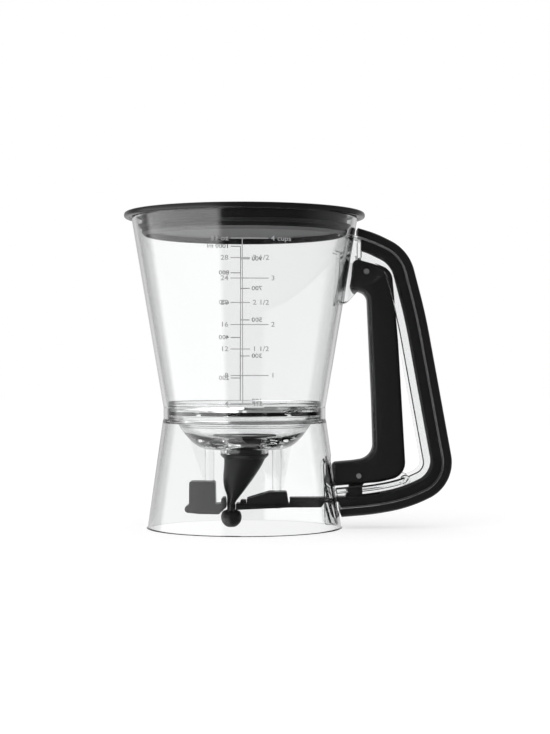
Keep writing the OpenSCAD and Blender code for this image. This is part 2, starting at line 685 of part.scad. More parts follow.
module trigger_core() {
    color(hard_black)
    difference() {
        across(core_half_w)
            polygon(drawn_in(trigger_band(), skin_t));
        trigger_pockets(0);
        // Bores of the bushes and of the link pin
        translate([pivot[0], 0, pivot[1]])
            rotate([90, 0, 0])
                cylinder(r = bush_r, h = 60, center = true, $fn = 48);
        translate([link[0], 0, link[1]])
            rotate([90, 0, 0])
                cylinder(r = pin_r, h = 60, center = true, $fn = 48);
    }
}
module trigger_grip() {
    color(soft_black)
    difference() {
        loft_across([for (d = edge_draws(skin_edge_r)) drawn_in(trigger_band(), d)],
                    edge_ys(trigger_w / 2, skin_edge_r));
        across(core_half_w)
            polygon(drawn_in(trigger_band(), skin_t));
        trigger_pockets(0);
        for (p = [pivot, link])
            translate([p[0], 0, p[1]])
                rotate([90, 0, 0])
                    cylinder(r = pin_r + soft_gap, h = 60, center = true, $fn = 48);
    }
}
module pivot_pin() {
    color(steel_grey)
    translate([pivot[0], 0, pivot[1]])
        rotate([90, 0, 0])
            cylinder(r = pin_r, h = 2 * (half_channel + plate_t), center = true, $fn = 48);
}
// Plain bushes pressed into the trigger's cheeks
bush_r = pin_r + 0.9;
module pivot_bushes() {
    color(seal_grey)
    for (side = [0, 1])
        mirror([0, side, 0])
            translate([pivot[0], core_half_w, pivot[1]])
                rotate([90, 0, 0])
                    difference() {
                        cylinder(r = bush_r, h = core_half_w - cheek_in, $fn = 48);
                        translate([0, 0, -1])
                            cylinder(r = pin_r + running_gap, h = 20, $fn = 48);
                    }
}
module link_pin() {
    color(steel_grey)
    translate([link[0], 0, link[1]])
        rotate([90, 0, 0])
            cylinder(r = pin_r, h = trigger_w - 0.4, center = true, $fn = 48);
}
// Torsion spring on the pivot, with a leg to the trigger and a leg to the rest rib
wire_r = 0.5;
spring_leg_x = -2.7;
spring_leg_y = 3;
module return_spring() {
    color(steel_grey)
    translate([pivot[0], 0, pivot[1]])
        difference() {
            union() {
                rotate([90, 0, 0])
                    cylinder(r = 3.3, h = 2 * cheek_in - 1, center = true, $fn = 48);
                // Leg that bears on the rest rib, and leg that bears on the trigger
                translate([spring_leg_x, spring_leg_y, 0])
                    cylinder(r = wire_r, h = 13, $fn = 24);
                translate([0, -spring_leg_y, -2.7])
                    rotate([0, 90, 0])
                        cylinder(r = wire_r, h = 3.4, $fn = 24);
            }
            rotate([90, 0, 0])
                cylinder(r = pin_r + soft_gap, h = 2 * cheek_in, center = true, $fn = 48);
        }
}

// ---- Slider ----

module slider() {
    bar_x0 = guide_x1 + 0.7;
    bar_x1 = skirt_r(15) - 9;
    // The tail stays over the web of the lower arm
    tail_z = foot_z + 3.7;
    color(hard_black)
    difference() {
        union() {
            // Tongue under the guide block, bar to the window and tail in the handle's lower arm
            across(slider_w / 2)
                polygon(rounded_outline([[slider_jaw_x, tongue_z, 0.6], [slider_jaw_x, tongue_top_z, 0.6],
                                         [bar_x0, tongue_top_z, 0.3], [bar_x0, tongue_top_z + 3.3, 0.5],
                                         [link[0] + 2.3, tongue_top_z + 3.3, 0.5],
                                         [link[0] + 2.3, tail_z, 0.5], [bar_x1, tail_z, 0.5],
                                         [bar_x1 - 2, tongue_z + 1.4, 0.8], [bar_x0, tongue_z + 1.4, 8]]));
            // Lug up to the link pin
            across(lug_w / 2)
                polygon(rounded_outline([[link[0] - 8.4, tongue_top_z + 1, 0.3], [link[0] - 5.6, link[1] - 6.6, 2],
                                         [link[0] - 3.6, link[1] + 3.5, 3], [link[0] + 3.6, link[1] + 3.5, 3],
                                         [link[0] + 3.6, link[1] - 4.4, 1], [link[0] + 2.3, link[1] - 6, 1],
                                         [link[0] + 2.3, tongue_top_z + 1, 0.3]]));
            // Moving jaw
            across(lobe_half_w)
                polygon(rounded_outline([[slider_jaw_x + 2.4, tongue_top_z - 1, 0.3],
                                         [slider_jaw_x + 2.6, tongue_top_z + 2, 0.9],
                                         [slider_jaw_x + 6, tongue_top_z + 2, 0.9],
                                         [slider_jaw_x + 6, tongue_top_z - 1, 0.3]]));
        }
        // Stepped slot that the guide's collar and screw head run in
        for (cut = [[guide_boss_r + soft_gap, tongue_z - 1, 20], [screw_head_r + soft_gap, tongue_z - 1, 3.2]])
            for (half = [0, 1])
                translate([guide_post_x - travel * half, 0, cut[1]]) {
                    cylinder(r = cut[0], h = cut[2], $fn = 40);
                    translate([0, -cut[0], 0])
                        cube([half == 1 ? travel : 0.01, 2 * cut[0], cut[2]]);
                }
        translate([link[0], 0, link[1]])
            rotate([90, 0, 0])
                cylinder(r = pin_r + link_gap, h = 60, center = true, $fn = 48);
    }
}

// ---- Lid ----

lid_top_z = body_h + lid_panel_t + 0.2;
lid_r = rim_r + lid_overhang;
lid_rim_z = lid_top_z - lid_rim_h;
lid_edge_r = 1.2;
plug_r = hopper_r(body_h - plug_depth) - wall - plug_gap + 0.5;
// Underside of the plug's edge and of the panel in it
plug_z = body_h - plug_depth;
panel_z = plug_z + 3.3;
seal_z = body_h - 6;
seal_groove = 0.9;
module lid() {
    color(hard_black)
    difference() {
        rotate_extrude()
            difference() {
                polygon([[0, panel_z], [plug_r - plug_wall, panel_z],
                         [plug_r - plug_wall, plug_z], [plug_r - 2, plug_z],
                         [plug_r - 0.6, plug_z + 0.7], [plug_r, plug_z + 2.2], [plug_r, body_h + 0.2],
                         [rim_r + 0.9, body_h + 0.2], [rim_r + 1.5, lid_rim_z],
                         [lid_r - lid_edge_r, lid_rim_z], [lid_r, lid_rim_z + lid_edge_r],
                         [lid_r, lid_top_z - lid_edge_r], [lid_r - lid_edge_r, lid_top_z],
                         [plug_r + 1, lid_top_z], [plug_r - 1, lid_top_z - 1.2], [0, lid_top_z - 1.2]]);
                // Hollow between the underside panel and the top
                polygon([[0, panel_z + 2], [plug_r - plug_wall, panel_z + 2],
                         [plug_r - plug_wall, lid_top_z - 3.4], [0, lid_top_z - 3.4]]);
                // Groove of the seal
                translate([plug_r - seal_groove, seal_z - 1.1])
                    square([seal_groove + 1, 2.2]);
            }
    }
}
module lid_seal() {
    lip_r = hopper_r(seal_z) - wall - soft_gap;
    color(soft_black)
    rotate_extrude()
        polygon([[plug_r - seal_groove + seat_gap, seal_z - 1], [plug_r + 0.4, seal_z - 1],
                 [lip_r - 0.4, seal_z + 0.6], [lip_r, seal_z + 1.3], [plug_r + 0.4, seal_z + 1],
                 [plug_r - seal_groove + seat_gap, seal_z + 1]]);
}

body_shell();
handle_frame();
grip_core();
grip_pad();
funnel();
funnel_seal();
valve();
valve_insert();
anvil_block();
guide_block();
block_screws();
slider();
trigger_core();
trigger_grip();
pivot_pin();
pivot_bushes();
link_pin();
return_spring();
lid();
lid_seal();
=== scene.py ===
import math

import bmesh
import bpy
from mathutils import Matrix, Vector


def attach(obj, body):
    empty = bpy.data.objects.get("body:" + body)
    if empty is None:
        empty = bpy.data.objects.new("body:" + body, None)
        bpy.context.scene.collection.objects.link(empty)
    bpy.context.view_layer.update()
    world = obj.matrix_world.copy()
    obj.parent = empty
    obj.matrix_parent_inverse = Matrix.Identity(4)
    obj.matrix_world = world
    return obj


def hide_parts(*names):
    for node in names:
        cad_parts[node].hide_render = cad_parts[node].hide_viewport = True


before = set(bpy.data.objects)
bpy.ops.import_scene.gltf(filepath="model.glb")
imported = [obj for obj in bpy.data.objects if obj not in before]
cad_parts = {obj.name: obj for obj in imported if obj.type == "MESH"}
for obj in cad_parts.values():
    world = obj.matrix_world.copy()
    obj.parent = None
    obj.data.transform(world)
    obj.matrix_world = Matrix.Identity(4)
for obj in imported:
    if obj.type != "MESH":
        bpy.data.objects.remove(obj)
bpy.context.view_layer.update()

# A batter dispenser, dressed for its picture. Sizes are in millimetres on the part's own frame: the
# origin is the body's axis at table height, +X runs to the handle and +Z up. MM turns them into metres.

MM = 0.001
scene = bpy.context.scene

# ---- Sizes, as in the part's source ----

BODY_H = 181.8
RIM_R = 66.4
NECK_R = 48.8
WAIST_TOP_Z = 73.4
WAIST_Z = 62.8
BASE_R = 58.3
WALL = 2.4
WAIST_R = NECK_R - 1.2
SKIRT_TOP_R = WAIST_R + 0.4
HOPPER_FOOT_Z = WAIST_TOP_Z + 2.4
WINDOW_TOP_Z = 42
WINDOW_SILL_Z = 9
WINDOW_HALF_W = 9.6
# The ledge inside the waist carries the funnel
LEDGE_R = NECK_R - 7.3
LEDGE_Z = WAIST_Z + 0.8
FUNNEL_Z = LEDGE_Z + 0.3
FUNNEL_R = WAIST_R - WALL - 0.2
FUNNEL_RIM_H = 8
FUNNEL_TOP_Z = FUNNEL_Z + FUNNEL_RIM_H
FUNNEL_WALL = 2.2
FUNNEL_FLOOR_R = 20
FLOOR_TOP_Z = FUNNEL_Z - 13.5
FLOOR_Z = FLOOR_TOP_Z - FUNNEL_WALL
BOWL_R = LEDGE_R - 1.2
VALVE_HOLE_R = 10.4
BOSS_R = 14.2
BOSS_Z = FLOOR_Z - 4.6
ANVIL_POST_X = -20.6
GUIDE_POST_X = 18.9
POST_R = 2.7
ANVIL_TOP_Z = 27.6
GUIDE_TOP_Z = 21.6
TONGUE_Z = 11
TONGUE_TOP_Z = TONGUE_Z + 3.8
LID_TOP_Z = BODY_H + 2.8
LID_RIM_Z = LID_TOP_Z - 3.3
LID_R = RIM_R + 4.3
PINCH_X = -7.8
PINCH_Z = 13.4
OUTLET_R = 6.1
OUTLET_Z = 1.2

# Facets round the large pieces, and the angle from which an edge is drawn sharp
ROUND = 240
SHARP_ANGLE = 32


def hopper_r(z):
    return NECK_R + (RIM_R - NECK_R) * (z - HOPPER_FOOT_Z) / (BODY_H - HOPPER_FOOT_Z)


def skirt_r(z):
    return BASE_R + (SKIRT_TOP_R - BASE_R) * z / WAIST_Z


# ---- Curves in the handle's plane, as (x, z) ----


def corner_arc(a, b, c, r, steps):
    """The arc of radius r that rounds the corner b between a and c."""
    a, b, c = Vector(a), Vector(b), Vector(c)
    u, w = (a - b).normalized(), (c - b).normalized()
    half = math.acos(max(-1.0, min(1.0, u.dot(w)))) / 2
    centre = b + (u + w).normalized() * (r / math.sin(half))
    start = b + u * (r / math.tan(half)) - centre
    turn = c - a
    side = math.copysign(1, start.x * turn.y - start.y * turn.x)
    sweep = side * (math.pi - 2 * half)
    found = []
    for i in range(steps + 1):
        t = sweep * i / steps
        found.append(centre + Vector((start.x * math.cos(t) - start.y * math.sin(t),
                                      start.x * math.sin(t) + start.y * math.cos(t))))
    return found


def rounded_outline(corners, steps=8):
    """Points through (x, z, radius) corners. An open path starts and ends with a radius of 0."""
    n = len(corners)
    path = []
    for i, (x, z, r) in enumerate(corners):
        if r == 0:
            path.append(Vector((x, z)))
        else:
            path += corner_arc(corners[i - 1][:2], (x, z), corners[(i + 1) % n][:2], r, steps)
    return path


def beside(path, d):
    """The open path, moved d to its left."""
    n = len(path)
    found = []
    for i in range(n):
        t = (path[min(i + 1, n - 1)] - path[max(i - 1, 0)]).normalized()
        found.append(path[i] + Vector((-t.y, t.x)) * d)
    return found


def drawn_in(outline, d):
    """The closed outline, moved d to its left."""
    n = len(outline)
    found = []
    for i in range(n):
        t = (outline[(i + 1) % n] - outline[i - 1]).normalized()
        found.append(outline[i] + Vector((-t.y, t.x)) * d)
    return found


def supported(outline, gap=0.12, shortest=1.0):
    """The closed outline again, with a point just inside each end of its long straight sides."""
    found = []
    for a, b in zip(outline, outline[1:] + outline[:1]):
        found.append(a)
        length = (b - a).length
        if length > shortest:
            found += [a.lerp(b, gap / length), b.lerp(a, gap / length)]
    return found


def resampled(path, step):
    """The open path again, with points about step apart."""
    found = [path[0]]
    for a, b in zip(path, path[1:]):
        n = max(1, round((b - a).length / step))
        found += [a.lerp(b, (i + 1) / n) for i in range(n)]
    return found


def smoothed(points, per=6):
    """Catmull-Rom through the points."""
    found = []
    last = len(points) - 1
    for i in range(last):
        a, b, c, d = (points[max(0, min(last, i + k))] for k in (-1, 0, 1, 2))
        for step in range(per):
            t = step / per
            found.append(tuple(0.5 * (2 * q + (r - p) * t + (2 * p - 5 * q + 4 * r - s) * t * t
                                      + (3 * q - 3 * r + s - p) * t ** 3)
                               for p, q, r, s in zip(a, b, c, d)))
    found.append(tuple(points[-1]))
    return found


def turns(segments):
    """The angles of so many points round a circle."""
    return [2 * math.pi * i / segments for i in range(segments)]


def quarter(steps):
    """Angles from 0 to 90 degrees."""
    return [math.radians(90 * i / steps) for i in range(steps + 1)]


def circle(x, z, r, segments):
    return [Vector((x + r * math.cos(t), z + r * math.sin(t))) for t in turns(segments)]


def level_ellipse(x, z, half_x, half_y, segments):
    """A level loop of (x, y, z) points."""
    return [(x + half_x * math.cos(t), half_y * math.sin(t), z) for t in turns(segments)]


def edge_profile(half_w, across_r, in_r, steps=9):
    """(depth, draw-in) pairs round an elliptical edge, over the whole width."""
    one = [(-half_w + across_r * (1 - math.cos(t)), in_r * (1 - math.sin(t))) for t in quarter(steps)]
    return one + [(-y, d) for y, d in one[::-1]]


# ---- Meshes ----


def shade(ob, angle=SHARP_ANGLE):
    me = ob.data
    me.polygons.foreach_set("use_smooth", [True] * len(me.polygons))
    me.set_sharp_from_angle(angle=math.radians(angle))
    me.update()


def make_object(name, bm, material=None, angle=SHARP_ANGLE):
    bmesh.ops.recalc_face_normals(bm, faces=bm.faces)
    me = bpy.data.meshes.new(name)
    bm.to_mesh(me)
    bm.free()
    ob = bpy.data.objects.new(name, me)
    scene.collection.objects.link(ob)
    if material:
        me.materials.append(material)
    shade(ob, angle)
    return ob


def lathe_bm(profile, segments=ROUND, x=0):
    """The closed (radius, z) profile turned about the upright line at x."""
    bm = bmesh.new()
    rings = []
    for r, z in profile:
        if r < 1e-6:
            rings.append([bm.verts.new((x * MM, 0, z * MM))])
            continue
        places = level_ellipse(x, z, r, r, segments)
        rings.append([bm.verts.new([c * MM for c in place]) for place in places])
    for a, b in zip(rings, rings[1:] + rings[:1]):
        if len(a) == 1 and len(b) == 1:
            continue
        for i in range(segments):
            j = (i + 1) % segments
            if len(a) == 1:
                bm.faces.new((a[0], b[j], b[i]))
            elif len(b) == 1:
                bm.faces.new((a[i], a[j], b[0]))
            else:
                bm.faces.new((a[i], a[j], b[j], b[i]))
    return bm


def loft_bm(loops):
    """A closed skin through closed loops of equal length, capped at both ends."""
    bm = bmesh.new()
    rings = [[bm.verts.new([c * MM for c in p]) for p in loop] for loop in loops]
    n = len(rings[0])
    for a, b in zip(rings, rings[1:]):
        for i in range(n):
            j = (i + 1) % n
            bm.faces.new((a[i], a[j], b[j], b[i]))
    bm.faces.new(rings[0])
    bm.faces.new(rings[-1])
    return bm


def layered_bm(outline_at, edges, side=1):
    """A closed skin across the handle's plane, with outline_at(d) at depth y for each (y, d) of edges."""
    return loft_bm([[(p.x, side * y, p.y) for p in outline_at(d)] for y, d in edges])


def prism_bm(outline, half_w):
    return loft_bm([[(p[0], y, p[1]) for p in outline] for y in (-half_w, half_w)])


def box_bm(low, high):
    bm = bmesh.new()
    bmesh.ops.create_cube(bm, size=1)
    for v in bm.verts:
        v.co = Vector([(low[k] + (high[k] - low[k]) * (v.co[k] + 0.5)) * MM for k in range(3)])
    return bm


def combine(ob, bm, operation):
    """ob joined with, or cut by, the closed mesh bm."""
    tool = make_object("tool", bm)
    mod = ob.modifiers.new("combine", "BOOLEAN")
    mod.operation = operation
    mod.solver = "EXACT"
    mod.object = tool
    bpy.context.view_layer.update()
    done = bpy.data.meshes.new_from_object(ob.evaluated_get(bpy.context.evaluated_depsgraph_get()))
    old = ob.data
    ob.modifiers.clear()
    ob.data = done
    done.name = old.name
    bpy.data.meshes.remove(old)
    tool_mesh = tool.data
    bpy.data.objects.remove(tool)
    bpy.data.meshes.remove(tool_mesh)


def join(ob, bm):
    combine(ob, bm, "UNION")


def cut(ob, bm):
    combine(ob, bm, "DIFFERENCE")


def drill(ob, centre, r):
    """A hole through ob across the handle's plane."""
    cut(ob, prism_bm(circle(*centre, r, 48), 20))


# ---- Materials ----


def grey(level):
    return (level, level, level, 1)


def node_material(name):
    mat = bpy.data.materials.new(name)
    mat.use_nodes = True
    nodes, links = mat.node_tree.nodes, mat.node_tree.links
    return mat, nodes, links, nodes["Principled BSDF"]


def math_node(nodes, links, kind, a, b):
    n = nodes.new("ShaderNodeMath")
    n.operation = kind
    for socket, value in zip(n.inputs, (a, b)):
        if isinstance(value, (int, float)):
            socket.default_value = value
        else:
            links.new(value, socket)
    return n.outputs[0]


def mixed(nodes, links, factor, at_0, at_1):
    """One shader where the factor is 0, and the other where it is 1."""
    mix = nodes.new("ShaderNodeMixShader")
    for socket, source in zip(mix.inputs, (factor, at_0, at_1)):
        links.new(source, socket)
    return mix.outputs[0]


def add_bump(nodes, links, bsdf, scale, strength, distance=0.0002, detail=4.0):
    coord = nodes.new("ShaderNodeTexCoord")
    noise = nodes.new("ShaderNodeTexNoise")
    noise.inputs["Scale"].default_value = scale
    noise.inputs["Detail"].default_value = detail
    bump = nodes.new("ShaderNodeBump")
    bump.inputs["Strength"].default_value = strength
    bump.inputs["Distance"].default_value = distance
    links.new(coord.outputs["Object"], noise.inputs["Vector"])
    links.new(noise.outputs["Fac"], bump.inputs["Height"])
    links.new(bump.outputs["Normal"], bsdf.inputs["Normal"])
    return noise.outputs["Fac"]


def rough_between(nodes, links, bsdf, noise, low, high):
    """Roughness that follows the noise from low to high."""
    span = nodes.new("ShaderNodeMapRange")
    span.inputs["To Min"].default_value = low
    span.inputs["To Max"].default_value = high
    links.new(noise, span.inputs["Value"])
    links.new(span.outputs["Result"], bsdf.inputs["Roughness"])


def plastic(name, level, rough, spread, grain, bump, specular=0.5, mottle=0.15):
    """Moulded plastic, rubber or ink: a fine grain, and a grey and roughness that vary a little."""
    mat, nodes, links, bsdf = node_material(name)
    noise = add_bump(nodes, links, bsdf, grain, bump)
    rough_between(nodes, links, bsdf, noise, rough - spread, rough + spread)
    shade_mix = nodes.new("ShaderNodeMix")
    shade_mix.data_type = "RGBA"
    links.new(noise, shade_mix.inputs["Factor"])
    for socket, value in (("A", level * (1 - mottle)), ("B", level * (1 + mottle))):
        shade_mix.inputs[socket].default_value = (value, value, value * 1.02, 1)
    links.new(shade_mix.outputs["Result"], bsdf.inputs["Base Color"])
    bsdf.inputs["Specular IOR Level"].default_value = specular
    return mat


def set_stops(ramp, stops):
    """Gives the ramp its (place, colour) stops, of which the first two are its lowest and highest."""
    elements = ramp.color_ramp.elements
    for i, (place, colour) in enumerate(stops):
        stop = elements[i] if i < 2 else elements.new(place)
        stop.position = place
        stop.color = colour


# Painted shade on clear plastic: the share of its colour that a surface keeps, from face-on at 0 to edge-on
# at 1, so that it is painted dark towards its outlines
PAINTED_EDGE_SHADE = ((0.45, 1.0), (1.0, 0.06), (0.65, 0.93), (0.80, 0.72), (0.92, 0.36))


def clear(name, tint, rough, ior, grain=60.0, bump=0.02):
    """Clear plastic that lets lamps through: a shadow or diffuse ray meets only a faint tint."""
    mat, nodes, links, bsdf = node_material(name)
    # Painted shade: the colour darkens as the surface turns edge-on, which draws dark outlines round every
    # clear part
    weight = nodes.new("ShaderNodeLayerWeight")
    weight.inputs["Blend"].default_value = 0.5
    edge_shade = nodes.new("ShaderNodeValToRGB")
    set_stops(edge_shade, [(at, (*[c * level for c in tint], 1)) for at, level in PAINTED_EDGE_SHADE])
    links.new(weight.outputs["Facing"], edge_shade.inputs["Fac"])
    links.new(edge_shade.outputs["Color"], bsdf.inputs["Base Color"])
    bsdf.inputs["Transmission Weight"].default_value = 1
    bsdf.inputs["IOR"].default_value = ior
    noise = add_bump(nodes, links, bsdf, grain, bump, 0.0001, 2.0)
    rough_between(nodes, links, bsdf, noise, rough * 0.6, rough * 1.4)
    path = nodes.new("ShaderNodeLightPath")
    lamp = math_node(nodes, links, "MAXIMUM", path.outputs["Is Shadow Ray"], path.outputs["Is Diffuse Ray"])
    see = nodes.new("ShaderNodeBsdfTransparent")
    see.inputs["Color"].default_value = (*[c ** 0.5 for c in tint], 1)
    look = mixed(nodes, links, lamp, bsdf.outputs[0], see.outputs[0])
    links.new(look, nodes["Material Output"].inputs["Surface"])
    return mat


def metal(name, level, rough):
    mat, nodes, links, bsdf = node_material(name)
    bsdf.inputs["Base Color"].default_value = (level, level, level * 1.01, 1)
    bsdf.inputs["Metallic"].default_value = 1
    noise = add_bump(nodes, links, bsdf, 900, 0.08, 0.00005)
    rough_between(nodes, links, bsdf, noise, rough * 0.7, rough * 1.3)
    return mat


CLEAR = clear("clear_plastic_look", (0.975, 0.98, 0.98), 0.01, 1.5, 60, 0.004)
SEAL = clear("clear_silicone_look", (0.93, 0.94, 0.94), 0.16, 1.41)
HARD = plastic("hard_black_look", 0.012, 0.34, 0.05, 700, 0.08, 0.35)
SOFT = plastic("soft_black_look", 0.009, 0.42, 0.05, 1500, 0.12, 0.5)
RUBBER = plastic("silicone_look", 0.012, 0.42, 0.06, 800, 0.08, 0.35)
LID = plastic("lid_black_look", 0.010, 0.26, 0.02, 900, 0.02, 0.4, 0.05)
# The lid's underside has a rougher finish, and its grey is painted much lighter than the lid's black to
# stand in for the pale floor reflected there: a painted reflection
LID_UNDERSIDE_PAINTED_LIGHT = plastic("lid_underside_painted_light", 0.14, 0.55, 0.04, 500, 0.03, 0.2, 0.05)
NYLON = plastic("nylon_look", 0.62, 0.42, 0.05, 500, 0.08)
STEEL = metal("steel_look", 0.7, 0.5)
CORE = plastic("core_black_look", 0.011, 0.7, 0.05, 700, 0.08, 0.12)
INK = plastic("ink_look", 0.40, 0.6, 0.05, 400, 0.02, 0.2)

# ---- Clear body ----

FLANK_Z = 71.4
FLANK_R = 47.75


def flank_r(z):
    """Radius of the hopper as drawn: a straight flank from the waist band to the rim."""
    return FLANK_R + (RIM_R - FLANK_R) * (z - FLANK_Z) / (BODY_H - FLANK_Z)


body_outside = [
    (BASE_R, 0, 0.7), (SKIRT_TOP_R, WAIST_Z, 0.5), (WAIST_R, LEDGE_Z, 0.35),
    (WAIST_R, FLANK_Z - 0.8, 0.4), (FLANK_R, FLANK_Z, 0.5), (RIM_R, BODY_H, 0.9)]
body_inside = [
    (RIM_R - WALL, BODY_H, 0.9), (FLANK_R - WALL, FLANK_Z, 0.9), (WAIST_R - WALL, FLANK_Z - 0.8, 0.9),
    (WAIST_R - WALL, LEDGE_Z, 0.15), (LEDGE_R, LEDGE_Z, 0.7), (LEDGE_R, WAIST_Z - 0.4, 0.5),
    (skirt_r(WAIST_Z - 1) - WALL, WAIST_Z - 0.8, 1.0), (BASE_R - WALL, 0, 0.7)]
body = make_object("clear_body", lathe_bm(supported(rounded_outline(body_outside + body_inside, 6))), CLEAR)
window = rounded_outline([
    (-WINDOW_HALF_W, WINDOW_SILL_Z, 1.5), (WINDOW_HALF_W, WINDOW_SILL_Z, 1.5),
    (WINDOW_HALF_W, WINDOW_TOP_Z, 3.5), (-WINDOW_HALF_W, WINDOW_TOP_Z, 3.5)], 6)
cut(body, loft_bm([[(x, p[0], p[1]) for p in window] for x in (LEDGE_R, BASE_R + 4)]))
shade(body)
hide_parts("body_shell")
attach(body, "body")

# Clear cheeks beside the window, against the inside of the skirt
CHEEK_OUT_Y = 11.5
CHEEK_LOW_Z = 2.5
CHEEK_TOP_Z = 41
CHEEK_GAP = 0.05
CHEEK_EDGES = (
    (9.7, 0.8), (9.85, 0.35), (10.2, 0.1), (10.6, 0), (11.0, 0.1), (11.35, 0.35), (CHEEK_OUT_Y, 0.8))


def inside_skirt_x(z):
    return math.sqrt((skirt_r(z) - WALL) ** 2 - CHEEK_OUT_Y ** 2) - CHEEK_GAP


cheek = rounded_outline([
    (46.6, CHEEK_LOW_Z, 1.5), (inside_skirt_x(CHEEK_LOW_Z), CHEEK_LOW_Z, 0.3),
    (inside_skirt_x(CHEEK_TOP_Z), CHEEK_TOP_Z, 0.3), (45.4, CHEEK_TOP_Z - 3, 3)], 8)
for side, name in ((1, "window_cheek_far"), (-1, "window_cheek_near")):
    piece = make_object(name, layered_bm(lambda d: drawn_in(cheek, d), CHEEK_EDGES, side), CLEAR)
    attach(piece, "body")

# ---- Funnel ----

# Outside of the bowl, from its underside up to the ledge
BOTTOM_Z = 46.2
bowl_out = smoothed([
    (19, BOTTOM_Z), (24, BOTTOM_Z + 0.5), (29.6, 49.6), (34.2, 54.2), (37.8, 59), (39.8, 62.6)])


def bowl_inside(r_in, r_out, z_low, z_high):
    """A quarter of an ellipse, from the bowl's rim down to its floor."""
    wide, deep = r_out - r_in, z_high - z_low
    rising = [(r_in + wide * math.sin(t), z_high - deep * math.cos(t)) for t in quarter(28)]
    return rising[::-1]


def bowl_outside_z(r):
    if r <= bowl_out[0][0]:
        return BOTTOM_Z
    for (r0, z0), (r1, z1) in zip(bowl_out, bowl_out[1:]):
        if r <= r1:
            return z0 + (z1 - z0) * (r - r0) / (r1 - r0)
    return bowl_out[-1][1]


boss_profile = [
    (VALVE_HOLE_R, FLOOR_TOP_Z - 0.3), (VALVE_HOLE_R, BOSS_Z + 0.3), (VALVE_HOLE_R + 0.3, BOSS_Z),
    (BOSS_R - 0.4, BOSS_Z), (BOSS_R, BOSS_Z + 0.4), (BOSS_R, BOTTOM_Z - 0.3), (BOSS_R + 0.3, BOTTOM_Z)]
rim_profile = [
    (BOWL_R, FUNNEL_Z - 0.1), (FUNNEL_R - 0.3, FUNNEL_Z), (FUNNEL_R, FUNNEL_Z + 0.3),
    (FUNNEL_R, FUNNEL_TOP_Z - 0.4), (FUNNEL_R - 0.4, FUNNEL_TOP_Z), (FUNNEL_R - 1.1, FUNNEL_TOP_Z),
    (FUNNEL_R - 1.4, FUNNEL_TOP_Z - 0.3)]
funnel_profile = boss_profile + bowl_out + rim_profile
funnel_profile += bowl_inside(FUNNEL_FLOOR_R, BOWL_R - FUNNEL_WALL, FLOOR_TOP_Z, FUNNEL_Z + FUNNEL_WALL)
funnel_profile += [(VALVE_HOLE_R + 0.3, FLOOR_TOP_Z)]
funnel_profile = supported([Vector(p) for p in funnel_profile], 0.1, 1.3)
funnel = make_object("clear_funnel", lathe_bm(funnel_profile), CLEAR)

# Posts and their ribs run into the bowl's wall
POST_TOP_Z = BOTTOM_Z + 1.4
RIB_HALF_T = 0.6
RIB_SINK = 0.6
RIB_STEPS = 8
for post_x, foot_z, side, reach in ((ANVIL_POST_X, ANVIL_TOP_Z, -1, 9), (GUIDE_POST_X, GUIDE_TOP_Z, 1, 6)):
    post = [
        (0, foot_z), (POST_R - 0.2, foot_z), (POST_R, foot_z + 0.2), (POST_R, POST_TOP_Z), (0, POST_TOP_Z)]
    join(funnel, lathe_bm(post, 48, post_x))
    far = post_x + side * (POST_R + reach)
    along = [post_x + (far - post_x) * i / RIB_STEPS for i in range(RIB_STEPS + 1)]
    rib = [(post_x, foot_z + 2), (post_x + side * (POST_R + 1.2), foot_z + 2)]
    rib += [(x, bowl_outside_z(abs(x)) + RIB_SINK) for x in along[::-1]]
    join(funnel, prism_bm([Vector(p) for p in rib], RIB_HALF_T))
shade(funnel)
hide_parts("funnel")
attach(funnel, "body")

seal_section = rounded_outline([
    (FUNNEL_R - 1.4, FUNNEL_TOP_Z + 0.02, 0.2), (FUNNEL_R, FUNNEL_TOP_Z + 0.02, 0.2),
    (FUNNEL_R, FUNNEL_TOP_Z + 1.1, 0.3), (FUNNEL_R - 0.5, FUNNEL_TOP_Z + 2.2, 0.2),
    (FUNNEL_R - 1.4, FUNNEL_TOP_Z + 1.1, 0.3)], 4)
seal = make_object("funnel_seal_ring", lathe_bm(seal_section), SEAL)
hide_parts("funnel_seal")
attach(seal, "body")

# ---- Silicone valve ----

NECK_GAP_R = VALVE_HOLE_R - 0.05
BORE_R = NECK_GAP_R - 1.8
CONE_Z = BOSS_Z - 2.8
CONE_H = CONE_Z - PINCH_Z
OUTLET_MID_Z = OUTLET_Z + OUTLET_R * 0.86
# The upper flange lies this little above the funnel's floor, and the lower one below its boss
FLANGE_GAP = 0.02
flange_z = FLOOR_TOP_Z + FLANGE_GAP
flange = rounded_outline([
    (BORE_R, CONE_Z, 0), (11.6, CONE_Z, 0.2), (BOSS_R - 1.9, CONE_Z + 0.1, 0.3),
    (BOSS_R, CONE_Z + 2.0, 0.5), (BOSS_R, BOSS_Z - FLANGE_GAP, 0.3), (NECK_GAP_R, BOSS_Z - FLANGE_GAP, 0),
    (NECK_GAP_R, flange_z, 0), (18.9, flange_z, 0.3), (18.6, FLOOR_TOP_Z + 2.2, 0.7),
    (16.4, FLOOR_TOP_Z + 2.2, 0.5), (BORE_R, FLOOR_TOP_Z + 0.8, 0.8)], 5)
valve = make_object("silicone_valve", lathe_bm(flange, 128), RUBBER)

# The tube leans to the pinch as it narrows: (height, middle, half-width in the handle's plane, and across)
tube_top = [(CONE_Z + 0.8, 0, 11.7, 11.7)]
tube = [
    (CONE_Z, 0, 12, 12), (CONE_Z - CONE_H * 0.17, -1.2, 10.9, 11.6),
    (CONE_Z - CONE_H * 0.40, -3.5, 9.1, 11), (CONE_Z - CONE_H * 0.62, -5.4, 6.6, 10.4),
    (CONE_Z - CONE_H * 0.80, PINCH_X + 1.3, 3.9, 9.8), (TONGUE_TOP_Z + 0.4, PINCH_X, 2.5, 9),
    (PINCH_Z, PINCH_X, 2.5, 8.6), (TONGUE_Z, PINCH_X, 2.5, 7.4),
    (TONGUE_Z - 0.4, PINCH_X, OUTLET_R * 0.54, OUTLET_R * 0.98)]
